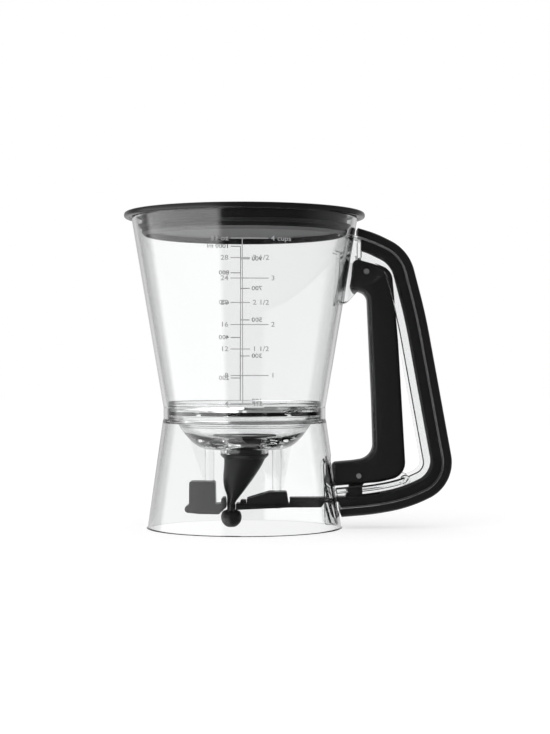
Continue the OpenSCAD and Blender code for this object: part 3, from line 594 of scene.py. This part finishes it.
# The outlet is part of a ball, from 55 to 160 degrees off its top
OUTLET_STEPS = 16
outlet_angles = [math.radians(55 + 105 * i / OUTLET_STEPS) for i in range(OUTLET_STEPS + 1)]
outlet = [(OUTLET_MID_Z + OUTLET_R * math.cos(t), PINCH_X, OUTLET_R * math.sin(t), OUTLET_R * math.sin(t))
          for t in outlet_angles]
rings = tube_top + smoothed(tube, 4) + outlet
join(valve, loft_bm([level_ellipse(x, z, half_x, half_y, 72) for z, x, half_x, half_y in rings]))
mouth = [(OUTLET_MID_Z + 3.2, 0.6, 4), (OUTLET_MID_Z, 1.9, 2.6), (OUTLET_Z - 1, 1.95, 1.95)]
cut(valve, loft_bm([level_ellipse(PINCH_X, z, half_x, half_y, 40) for z, half_x, half_y in mouth]))
shade(valve, 38)
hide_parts("valve")
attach(valve, "body")

# ---- Lid ----

PLUG_Z = BODY_H - 11.1
PANEL_Z = PLUG_Z + 3.3
GROOVE_Z = BODY_H - 6
GROOVE_HALF_H = 1.1
GROOVE_DEPTH = 0.9
PLUG_R = hopper_r(PLUG_Z) - WALL - 1.9
PLUG_IN_R = PLUG_R - 2.4
PANEL_TOP_Z = LID_TOP_Z - 1.2
groove_low, groove_high = GROOVE_Z - GROOVE_HALF_H, GROOVE_Z + GROOVE_HALF_H
lid_profile = rounded_outline([
    (PLUG_IN_R, PANEL_Z, 0.5), (PLUG_IN_R, PLUG_Z, 0.3), (PLUG_R - 1.6, PLUG_Z, 0.8),
    (PLUG_R, PLUG_Z + 1.9, 1.2), (PLUG_R, groove_low, 0.1), (PLUG_R - GROOVE_DEPTH, groove_low, 0.1),
    (PLUG_R - GROOVE_DEPTH, groove_high, 0.1), (PLUG_R, groove_high, 0.1), (PLUG_R, BODY_H + 0.2, 0.1),
    (RIM_R + 0.9, BODY_H + 0.2, 0.15), (RIM_R + 1.4, LID_RIM_Z, 0.25), (LID_R, LID_RIM_Z, 1.3),
    (LID_R, LID_TOP_Z, 1.5), (PLUG_R + 1.2, LID_TOP_Z, 1.4), (PLUG_R - 1.2, PANEL_TOP_Z, 1.2)], 6)
lid_profile += [Vector((0, PANEL_TOP_Z)), Vector((0, PANEL_Z))]
lid = make_object("lid_plug", lathe_bm(supported(lid_profile)), LID, 40)
# The downward faces round the panel take the underside's painted reflection
lid.data.materials.append(LID_UNDERSIDE_PAINTED_LIGHT)
for face in lid.data.polygons:
    if face.normal.z < -0.5 and face.center.z < (PANEL_Z + 0.5) * MM:
        face.material_index = 1
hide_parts("lid")
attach(lid, "lid")

LIP_R = hopper_r(GROOVE_Z) - WALL - 0.3
lip_section = rounded_outline([
    (PLUG_R - 0.85, GROOVE_Z - 1, 0.1), (PLUG_R + 0.4, GROOVE_Z - 1, 0.3),
    (LIP_R - 0.4, GROOVE_Z + 0.6, 0.2), (LIP_R, GROOVE_Z + 1.3, 0.15),
    (PLUG_R + 0.4, GROOVE_Z + 1, 0.2), (PLUG_R - 0.85, GROOVE_Z + 1, 0.1)], 4)
lid_seal = make_object("lid_seal_ring", lathe_bm(lip_section), RUBBER)
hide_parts("lid_seal")
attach(lid_seal, "lid")

# ---- Handle: its line, and the black band and pad that are moulded onto its clear channel ----

CREST_Z = BODY_H - 14.8
HEEL_Z = 28.5
SHOULDER = Vector((hopper_r(CREST_Z - 8.2) + 28.8, CREST_Z - 8.2))
HEEL = Vector((skirt_r(HEEL_Z) + 64.2, HEEL_Z))
UPPER_MID = SHOULDER.lerp(HEEL, 0.27) + Vector((2, 0))
LOWER_BEND_X = HEEL.x - 23.5
ROOT_X = hopper_r(CREST_Z) - 8
FOOT_Z = 11.6
web_line = resampled(rounded_outline([
    (ROOT_X, CREST_Z + 5.8, 0), (SHOULDER.x - 16.5, CREST_Z, 60), (*SHOULDER, 21), (*UPPER_MID, 350),
    (*HEEL, 18), (LOWER_BEND_X, HEEL.y - 11.5, 80), (HEEL.x - 44, FOOT_Z + 1.8, 150),
    (skirt_r(FOOT_Z) - 6, FOOT_Z - 0.1, 0)], 20), 1.5)
PIVOT_Z = BODY_H - 31.9
PIVOT_X = hopper_r(PIVOT_Z) + 10.1
LINK_Z = 30.6
LINK_X = skirt_r(LINK_Z) + 13.5
HALF_CHANNEL = 9.5
PLATE_T = 1.9
PLATE_H = 11.7
PLATE_Y = HALF_CHANNEL + PLATE_T
WEB_T = 1.2
HALF_WEB = WEB_T / 2
HALF_PAD = 12.5
PAD_H = 5.3
BAND_H = 5.7
# How far the black pieces reach into the skin of the channel
BOND = 0.02
REST_RIB_X = PIVOT_X - 4.9
REST_RIB_T = 1.6
HOPPER_CUT_X = hopper_r(CREST_Z + 4)
SKIRT_GAP = 0.5
LUG_GAP_HALF_W = 6.3


def band(inside, outside):
    """The outline between two lines beside the handle's line."""
    return beside(web_line, inside) + beside(web_line, outside)[::-1]


def pad_outline(d):
    return band(HALF_WEB - BOND + min(0.15, d * 0.06), PAD_H - d)


def grip_band_outline(d):
    return band(d - BAND_H, BOND - HALF_WEB)


def cut_ends(ob, upper_x):
    """Ends ob at upper_x above, and a small gap off the skirt below."""
    cut(ob, box_bm((0, -20, 50), (upper_x, 20, 200)))
    low_r, high_r = BASE_R + SKIRT_GAP, SKIRT_TOP_R + SKIRT_GAP
    cut(ob, lathe_bm([(0, -2), (low_r, -2), (low_r, 0), (high_r, WAIST_Z), (0, WAIST_Z)]))


pad = make_object("handle_pad", layered_bm(pad_outline, edge_profile(HALF_PAD, 3.0, 2.6)), SOFT, 40)
cut_ends(pad, HOPPER_CUT_X + 1.6)
shade(pad, 40)
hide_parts("grip_pad")
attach(pad, "body")

# The band is open where the slider's lug runs
core_edges = edge_profile(HALF_CHANNEL + BOND, 0.5, 0.5, 4)
core = make_object("grip_band", layered_bm(grip_band_outline, core_edges), CORE, 40)
cut_ends(core, REST_RIB_X + 1.8)
cut(core, box_bm((0, -LUG_GAP_HALF_W, 0), (LINK_X + 12.9, LUG_GAP_HALF_W, 30)))
shade(core, 40)
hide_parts("grip_core")
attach(core, "body")

# ---- Clear channel of the handle, with its ears and rails ----


def sweep_bm(section):
    """The (across, out) section carried along the handle's line."""
    n = len(web_line)
    loops = []
    for i, p in enumerate(web_line):
        t = (web_line[min(i + 1, n - 1)] - web_line[max(i - 1, 0)]).normalized()
        loops.append([(p.x - t.y * d, y, p.y + t.x * d) for y, d in section])
    return loft_bm(loops)


channel_section = supported(rounded_outline([
    (-PLATE_Y, HALF_WEB, 0.4), (PLATE_Y, HALF_WEB, 0.4), (PLATE_Y, -PLATE_H, 0.93),
    (HALF_CHANNEL, -PLATE_H, 0.93), (HALF_CHANNEL, -HALF_WEB, 0.3), (-HALF_CHANNEL, -HALF_WEB, 0.3),
    (-HALF_CHANNEL, -PLATE_H, 0.93), (-PLATE_Y, -PLATE_H, 0.93)], 8))
channel = make_object("clear_channel", sweep_bm(channel_section), CLEAR)

# The ears carry the trigger's pin, and lie just inside the plates' faces
ear = rounded_outline([
    (ROOT_X, CREST_Z + 4, 1), (SHOULDER.x - 14, CREST_Z - 2, 6), (SHOULDER.x - 8, CREST_Z - 8, 6),
    (PIVOT_X + 12.5, PIVOT_Z + 4, 8), (PIVOT_X + 7.2, PIVOT_Z - 6.4, 7), (PIVOT_X - 2, PIVOT_Z - 8.2, 5),
    (hopper_r(PIVOT_Z - 17) + 2, PIVOT_Z - 18, 5), (hopper_r(PIVOT_Z - 20) - 6, PIVOT_Z - 20, 1)], 8)[::-1]
EAR_EDGES = ((HALF_CHANNEL + 0.03, 0.3), (HALF_CHANNEL + 0.12, 0.1), (HALF_CHANNEL + 0.3, 0),
             (PLATE_Y - 0.3, 0), (PLATE_Y - 0.12, 0.1), (PLATE_Y - 0.03, 0.3))

# A rail runs along the lower arm's plates from a round nose. Its edges give how far it stands out of
# the plate, and how much it is drawn in there.
HALF_RAIL = 1.7
NOSE_R = 2.9
NOSE_OUT = 0.02
NOSE_FACETS = 48
rail_line = [p for p in beside(web_line, 1.4 - PLATE_H) if p.y < 60 and p.x < LOWER_BEND_X]
nose = rail_line[0]
RAIL_EDGES = ((HALF_CHANNEL + 0.05, 0), (PLATE_Y + 0.05, 0), (PLATE_Y + 0.35, 0.07),
              (PLATE_Y + 0.65, 0.28), (PLATE_Y + 0.82, 0.55), (PLATE_Y + 0.9, 0.95))


def rail_outline(d):
    return beside(rail_line, HALF_RAIL - d) + beside(rail_line, d - HALF_RAIL)[::-1]


def nose_loop(y, r):
    return [(nose.x + r * math.cos(t), y, nose.y + r * math.sin(t)) for t in turns(NOSE_FACETS)]


for side in (1, -1):
    join(channel, layered_bm(lambda d: drawn_in(ear, d), EAR_EDGES, side))
    join(channel, layered_bm(rail_outline, RAIL_EDGES, side))
    join(channel, loft_bm([nose_loop(side * (y + NOSE_OUT), NOSE_R - d) for y, d in RAIL_EDGES]))

# The trigger rests against a rib between the plates
rest_rib = [Vector(p) for p in (
    (REST_RIB_X, PIVOT_Z + 7.8), (REST_RIB_X + REST_RIB_T, PIVOT_Z + 7.5),
    (REST_RIB_X + REST_RIB_T, CREST_Z), (REST_RIB_X, CREST_Z + 0.6))]
join(channel, prism_bm(rest_rib, HALF_CHANNEL + 0.2))
BODY_GAP = 0.05
body_void = [(0, -2), (BASE_R + BODY_GAP, -2)]
body_void += [(r + BODY_GAP, z) for r, z in (
    (BASE_R, 0), (SKIRT_TOP_R, WAIST_Z), (WAIST_R, LEDGE_Z), (WAIST_R, WAIST_TOP_Z),
    (NECK_R, HOPPER_FOOT_Z), (RIM_R, BODY_H), (RIM_R, BODY_H + 5))]
body_void += [(0, BODY_H + 5)]
cut(channel, lathe_bm(body_void))
drill(channel, (PIVOT_X, PIVOT_Z), 1.5)
shade(channel, 28)
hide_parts("handle_frame")
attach(channel, "body")

# ---- Trigger's skin ----

ARM_X = LINK_X - 16
END_R = 2.7
TOP_X = hopper_r(PIVOT_Z) + 1.3
# How much the hopper's flank leans out in 1 mm of height
LEAN = hopper_r(PIVOT_Z) - hopper_r(PIVOT_Z - 1)
trigger_back = rounded_outline([
    (TOP_X, PIVOT_Z - 0.5, 0), (TOP_X + 8 * LEAN, PIVOT_Z + 8, END_R), (PIVOT_X + 4.8, PIVOT_Z + 5.2, 30),
    (PIVOT_X + 15, PIVOT_Z + 1, 9), (PIVOT_X + 18.9, PIVOT_Z - 41.9, 500), (LINK_X + 27.8, LINK_Z, 10),
    (LINK_X + 12.5, LINK_Z - 3.8, 40), (ARM_X, LINK_Z - 6.2, END_R), (ARM_X + 0.2, LINK_Z + 0.4, 0)], 14)
trigger_front = rounded_outline([
    (TOP_X, PIVOT_Z - 1.5, 0), (TOP_X - 10 * LEAN, PIVOT_Z - 10.2, END_R),
    (PIVOT_X - 6, PIVOT_Z - 11, 4), (PIVOT_X + 0.6, PIVOT_Z - 13.2, 6), (PIVOT_X + 3.4, PIVOT_Z - 75, 500),
    (LINK_X + 8.8, LINK_Z + 10.6, 9), (LINK_X - 3, LINK_Z + 8.7, 60), (ARM_X + 0.6, LINK_Z + 7.6, END_R),
    (ARM_X + 0.3, LINK_Z + 1.4, 0)], 14)
trigger_outline = trigger_front + trigger_back[::-1]

# The skin is hollow for the hard core, the link's lug and the return spring's leg
SKIN_T = 1.8
CORE_HALF_W = 7
HOLLOW_HALF_W = 4.5
back_hollow = [Vector(p) for p in (
    (PIVOT_X + 5.4, PIVOT_Z - 20.2), (PIVOT_X + 8.2, PIVOT_Z - 75), (LINK_X + 13.6, LINK_Z + 22),
    (LINK_X + 39.8, LINK_Z + 22), (PIVOT_X + 29.9, PIVOT_Z - 20.2))]
skin_edges = edge_profile(8.8, 3.6, 2.5)
skin = make_object("trigger_skin", layered_bm(lambda d: drawn_in(trigger_outline, d), skin_edges), SOFT, 40)
cut(skin, prism_bm(drawn_in(trigger_outline, SKIN_T), CORE_HALF_W))
cut(skin, prism_bm(back_hollow, HOLLOW_HALF_W))
cut(skin, box_bm((LINK_X - 7.6, -HOLLOW_HALF_W, LINK_Z - 12), (LINK_X + 5, HOLLOW_HALF_W, LINK_Z + 4.4)))
cut(skin, box_bm((PIVOT_X - 4.2, 2.1, PIVOT_Z), (PIVOT_X - 1.4, 3.9, PIVOT_Z + 14)))
for pin in ((PIVOT_X, PIVOT_Z), (LINK_X, LINK_Z)):
    drill(skin, pin, 1.8)
shade(skin, 40)
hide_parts("trigger_grip")
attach(skin, "trigger")

# ---- CAD solids that stay, with their own finish and edges softened by so many millimetres ----

LOOKS = {
    "anvil_block": (HARD, 0.45), "guide_block": (HARD, 0.4), "slider": (HARD, 0.4),
    "trigger_core": (HARD, 0.2), "valve_insert": (NYLON, 0.1), "block_screws": (STEEL, 0.08),
    "pivot_pin": (STEEL, 0.15), "link_pin": (STEEL, 0.15), "pivot_bushes": (NYLON, 0.08),
    "return_spring": (STEEL, 0.1)}
for name, (look, width) in LOOKS.items():
    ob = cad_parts[name]
    ob.data.materials.clear()
    ob.data.materials.append(look)
    weld = ob.modifiers.new("weld", "WELD")
    weld.merge_threshold = 1e-6
    bevel = ob.modifiers.new("edges", "BEVEL")
    bevel.width = width * MM
    bevel.segments = 3
    bevel.limit_method = "ANGLE"
    bevel.angle_limit = math.radians(40)

# ---- The photograph's view ----

PHOTO_W = 550
PHOTO_H = 734
MID_COL = PHOTO_W / 2
MID_ROW = PHOTO_H / 2
EYE = (17.9, -968.0, 94.15)
FOCAL_PX = 1645.0

# ---- Graduations, as thin raised ink on the hopper ----

INK_LOW = 0.012
INK_HIGH = 0.05
LINE_W = 0.5
WORD_H = 3.8
WORD_STRETCH = 1.2
MARKS_MID_Z = 120
# Ounces, the pixel row of their line, and the cups that they make
OUNCES = (
    (32, 238, "4 cups"), (28, 257.5, "3 1/2"), (24, 278, "3"), (20, 302.5, "2 1/2"),
    (16, 324.5, "2"), (12, 349, "1 1/2"), (8, 375.5, "1"), (4, 404, "1/2"))
# Pixel rows of the lines at the back, from 1000 ml down in steps of 100
ML_ROWS = (246.5, 259, 273, 288.5, 302.5, 320, 337.5, 356, 378, 401)
# Pixel columns of the upright lines, of the ends of the others and of the words
OUNCE_LINE_COL = 242.5
ML_LINE_COL = 240.4
LEFT_END_COL = 230.5
SHORT_END_COL = 250
LONG_END_COL = 268.5
OUNCE_WORD_COL = 228.5
SHORT_WORD_COL = 252.5
LONG_WORD_COL = 271
ML_LEFT_WORD_COL = 229
ML_RIGHT_WORD_COL = 252


def on_wall(u, z, out, back):
    """The point u round the hopper from its middle, at height z and out proud of its wall."""
    r = flank_r(z) + out
    a = u / flank_r(z)
    if back:
        return (-r * math.sin(a), r * math.cos(a), z)
    return (r * math.sin(a), -r * math.cos(a), z)


def height_of(row, back):
    """The height at which the hopper's wall is seen at this pixel row."""
    z = MARKS_MID_Z
    for _ in range(6):
        z = EYE[2] + (MID_ROW - row) / FOCAL_PX * (-EYE[1] + (1 if back else -1) * flank_r(z))
    return max(z, FLANK_Z + 0.8)


def across_of(col, z, back):
    """How far round the hopper, at height z, this pixel column is seen."""
    r = flank_r(z)
    x = EYE[0] + (col - MID_COL) / FOCAL_PX * (-EYE[1] + (r if back else -r))
    u = r * math.asin(max(-1, min(1, x / r)))
    return -u if back else u


def bar(bm, u0, u1, z0, z1, back):
    """A thin raised bar on the wall, in facets that follow its curve."""
    n = max(1, round(abs(u1 - u0) / 1.5))
    m = max(1, round(abs(z1 - z0) / 6))
    grid = {}
    for i in range(n + 1):
        for j in range(m + 1):
            for k, out in enumerate((INK_LOW, INK_HIGH)):
                at = on_wall(u0 + (u1 - u0) * i / n, z0 + (z1 - z0) * j / m, out, back)
                grid[i, j, k] = bm.verts.new([c * MM for c in at])
    for i in range(n):
        for j in range(m):
            for k in (0, 1):
                bm.faces.new((grid[i, j, k], grid[i + 1, j, k], grid[i + 1, j + 1, k], grid[i, j + 1, k]))
    for i in range(n):
        for j in (0, m):
            bm.faces.new((grid[i, j, 0], grid[i + 1, j, 0], grid[i + 1, j, 1], grid[i, j, 1]))
    for j in range(m):
        for i in (0, n):
            bm.faces.new((grid[i, j, 0], grid[i, j + 1, 0], grid[i, j + 1, 1], grid[i, j, 1]))


def level_line(bm, u0, u1, z, back):
    bar(bm, min(u0, u1), max(u0, u1), z - LINE_W / 2, z + LINE_W / 2, back)


def upright_line(bm, col, low_row, high_row, back):
    u = across_of(col, MARKS_MID_Z, back)
    bar(bm, u - LINE_W / 2, u + LINE_W / 2, height_of(low_row, back), height_of(high_row, back), back)


def words(bm, text, u, z, align, back):
    curve = bpy.data.curves.new("words", "FONT")
    curve.body = text
    curve.size = WORD_H
    curve.offset = 0.04
    curve.align_x = align
    curve.align_y = "CENTER"
    curve.extrude = 0.5
    curve.resolution_u = 3
    ob = bpy.data.objects.new("words", curve)
    scene.collection.objects.link(ob)
    bpy.context.view_layer.update()
    me = bpy.data.meshes.new_from_object(ob.evaluated_get(bpy.context.evaluated_depsgraph_get()))
    for v in me.vertices:
        out = INK_LOW if v.co.z < 0 else INK_HIGH
        v.co = Vector(on_wall(u + v.co.x * WORD_STRETCH, z + v.co.y, out, back)) * MM
    bm.from_mesh(me)
    bpy.data.objects.remove(ob)
    bpy.data.curves.remove(curve)
    bpy.data.meshes.remove(me)


front_marks = bmesh.new()
for ounces, row, cups in OUNCES:
    z = height_of(row, False)
    long = ounces % 8 == 0
    end_col, word_col = (LONG_END_COL, LONG_WORD_COL) if long else (SHORT_END_COL, SHORT_WORD_COL)
    level_line(front_marks, across_of(LEFT_END_COL, z, False), across_of(end_col, z, False), z, False)
    text = str(ounces) + (" oz" if ounces == OUNCES[0][0] else "")
    words(front_marks, text, across_of(OUNCE_WORD_COL, z, False), z, "RIGHT", False)
    words(front_marks, cups, across_of(word_col, z, False), z, "LEFT", False)
upright_line(front_marks, OUNCE_LINE_COL, OUNCES[-1][1], OUNCES[0][1], False)

# The back's lines go left and right in turn, as seen from the front, and its words read from behind
back_marks = bmesh.new()
for i, row in enumerate(ML_ROWS):
    z = height_of(row, True)
    left = i % 2 == 0
    end_col, word_col = (LEFT_END_COL, ML_LEFT_WORD_COL) if left else (SHORT_END_COL, ML_RIGHT_WORD_COL)
    level_line(back_marks, across_of(ML_LINE_COL, z, True), across_of(end_col, z, True), z, True)
    text = str(1000 - 100 * i) + (" ml" if i == 0 else "")
    words(back_marks, text, across_of(word_col, z, True), z, "LEFT" if left else "RIGHT", True)
upright_line(back_marks, ML_LINE_COL, ML_ROWS[-1], ML_ROWS[0], True)

for name, marks in (("marks_front", front_marks), ("marks_back", back_marks)):
    ob = make_object(name, marks, INK)
    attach(ob, "body")

# ---- Floor ----


def ray_kinds(nodes, links):
    """Two factors: 1 for a ray straight from the camera or through clear plastic, 1 for a reflected ray."""
    path = nodes.new("ShaderNodeLightPath").outputs
    bounced = math_node(nodes, links, "ADD", path["Glossy Depth"], path["Diffuse Depth"])
    unbent = math_node(nodes, links, "LESS_THAN", bounced, 0.5)
    straight = math_node(nodes, links, "MULTIPLY", path["Is Transmission Ray"], unbent)
    direct = math_node(nodes, links, "MAXIMUM", path["Is Camera Ray"], straight)
    glossed = math_node(nodes, links, "GREATER_THAN", path["Glossy Depth"], 0.5)
    again = math_node(nodes, links, "MULTIPLY", path["Is Transmission Ray"], glossed)
    return direct, math_node(nodes, links, "MAXIMUM", path["Is Glossy Ray"], again)


# The floor that is seen glows and takes a soft shadow. It bounces light as pale card, and reflections
# don't meet it.
FLOOR_HALF_SIZE = 4
FLOOR_DROP = 0.0002
FLOOR_GLOW = 0.62
FLOOR_MATT = 0.44
FLOOR_BOUNCE = 0.8


def floor_look():
    mat, nodes, links, bsdf = node_material("floor_look")
    nodes.remove(bsdf)
    glow = nodes.new("ShaderNodeEmission")
    glow.inputs["Color"].default_value = grey(1)
    glow.inputs["Strength"].default_value = FLOOR_GLOW
    matt = nodes.new("ShaderNodeBsdfDiffuse")
    matt.inputs["Color"].default_value = grey(FLOOR_MATT)
    plain = nodes.new("ShaderNodeBsdfDiffuse")
    plain.inputs["Color"].default_value = grey(FLOOR_BOUNCE)
    seen = nodes.new("ShaderNodeAddShader")
    links.new(glow.outputs[0], seen.inputs[0])
    links.new(matt.outputs[0], seen.inputs[1])
    through = nodes.new("ShaderNodeBsdfTransparent")
    direct, mirrored = ray_kinds(nodes, links)
    card = mixed(nodes, links, direct, plain.outputs[0], seen.outputs[0])
    look = mixed(nodes, links, mirrored, card, through.outputs[0])
    links.new(look, nodes["Material Output"].inputs["Surface"])
    return mat


floor_bm = bmesh.new()
bmesh.ops.create_grid(floor_bm, x_segments=1, y_segments=1, size=FLOOR_HALF_SIZE)
for v in floor_bm.verts:
    v.co.z = -FLOOR_DROP
floor = make_object("floor", floor_bm)
floor.data.materials.append(floor_look())
floor.visible_glossy = False

# ---- World: white behind the object, and a studio that only reflections show ----

STUDIO_STRENGTH = 2.5
FILL_STRENGTH = 0.9
# Degrees round from the front (-Y), positive towards the handle, and the studio's grey there: a wide
# softbox on the left, dark cloth in front and on the right, and grey walls behind
ROUND_STOPS = (
    (-180, 0.4), (180, 0.4), (-150, 0.4), (-135, 0.14), (-120, 0.14), (-112, 0.92), (-28, 0.92),
    (-22, 0.03), (60, 0.03), (90, 0.10), (140, 0.14), (155, 0.4))
# How steeply a ray rises, from -1 straight down to 1 straight up, and the studio's share of light there
RISE_STOPS = ((-1, 1.0), (1, 0.3), (-0.33, 1.0), (0.33, 0.35))
# Through clear plastic the backdrop is white, and the dark ceiling shows only in steep refractions
CEILING_STOPS = ((-1, 1.0), (1, 0.3), (0.2, 1.0), (0.6, 0.3))


def greys_over(nodes, links, factor, stops):
    """A grey that follows (value, grey) stops over the factor. The first two are its ends."""
    low, high = stops[0][0], stops[1][0]
    ramp = nodes.new("ShaderNodeValToRGB")
    set_stops(ramp, [((value - low) / (high - low), grey(level)) for value, level in stops])
    from_low = math_node(nodes, links, "SUBTRACT", factor, low)
    links.new(math_node(nodes, links, "DIVIDE", from_low, high - low), ramp.inputs[0])
    return ramp.outputs["Color"]


def background(nodes, links, colour, strength):
    shader = nodes.new("ShaderNodeBackground")
    shader.inputs["Strength"].default_value = strength
    if isinstance(colour, tuple):
        shader.inputs["Color"].default_value = colour
    else:
        links.new(colour, shader.inputs["Color"])
    return shader.outputs[0]


def light_world(world):
    world.use_nodes = True
    nodes, links = world.node_tree.nodes, world.node_tree.links
    nodes.clear()
    coord = nodes.new("ShaderNodeTexCoord")
    split = nodes.new("ShaderNodeSeparateXYZ")
    links.new(coord.outputs["Generated"], split.inputs[0])
    x, y, z = split.outputs
    front = math_node(nodes, links, "MULTIPLY", y, -1)
    round_from_front = math_node(nodes, links, "ARCTAN2", x, front)
    bearing = math_node(nodes, links, "MULTIPLY", round_from_front, 180 / math.pi)
    studio = nodes.new("ShaderNodeMix")
    studio.data_type = "RGBA"
    studio.blend_type = "MULTIPLY"
    studio.inputs["Factor"].default_value = 1
    links.new(greys_over(nodes, links, bearing, ROUND_STOPS), studio.inputs["A"])
    links.new(greys_over(nodes, links, z, RISE_STOPS), studio.inputs["B"])
    direct, mirrored = ray_kinds(nodes, links)
    camera_ray = nodes.new("ShaderNodeLightPath").outputs["Is Camera Ray"]
    shown = background(nodes, links, grey(1), FILL_STRENGTH)
    for factor, colour, strength in (
            (mirrored, studio.outputs["Result"], STUDIO_STRENGTH),
            (direct, greys_over(nodes, links, z, CEILING_STOPS), 1),
            (camera_ray, grey(1), 1)):
        shown = mixed(nodes, links, factor, shown, background(nodes, links, colour, strength))
    out = nodes.new("ShaderNodeOutputWorld")
    links.new(shown, out.inputs["Surface"])


scene.world = bpy.data.worlds.new("studio")
light_world(scene.world)

# ---- Key lamp, in metres: it shades and casts shadows, and isn't itself seen ----

KEY_PLACE = (-0.5, -0.7, 1.1)
KEY_AIM = (0.02, 0, 0.08)
key = bpy.data.lights.new("key", "AREA")
key.energy = 2.2
key.size = 0.8
key_ob = bpy.data.objects.new("key", key)
scene.collection.objects.link(key_ob)
key_ob.location = KEY_PLACE
key_ob.rotation_euler = (Vector(KEY_AIM) - key_ob.location).to_track_quat("-Z", "Y").to_euler()
key_ob.visible_camera = False
key_ob.visible_glossy = False
key_ob.visible_transmission = False

# ---- Camera and light paths ----

camera = bpy.data.cameras.new("camera")
camera.sensor_width = 36
camera.lens = FOCAL_PX * camera.sensor_width / PHOTO_H
camera.clip_start = 0.05
camera.clip_end = 20
camera_ob = bpy.data.objects.new("camera", camera)
scene.collection.objects.link(camera_ob)
camera_ob.location = Vector(EYE) * MM
camera_ob.rotation_euler = (math.radians(90), 0, 0)
scene.camera = camera_ob
scene.view_settings.view_transform = "Standard"
scene.cycles.max_bounces = 24
scene.cycles.transmission_bounces = 20
scene.cycles.glossy_bounces = 8
scene.cycles.transparent_max_bounces = 24
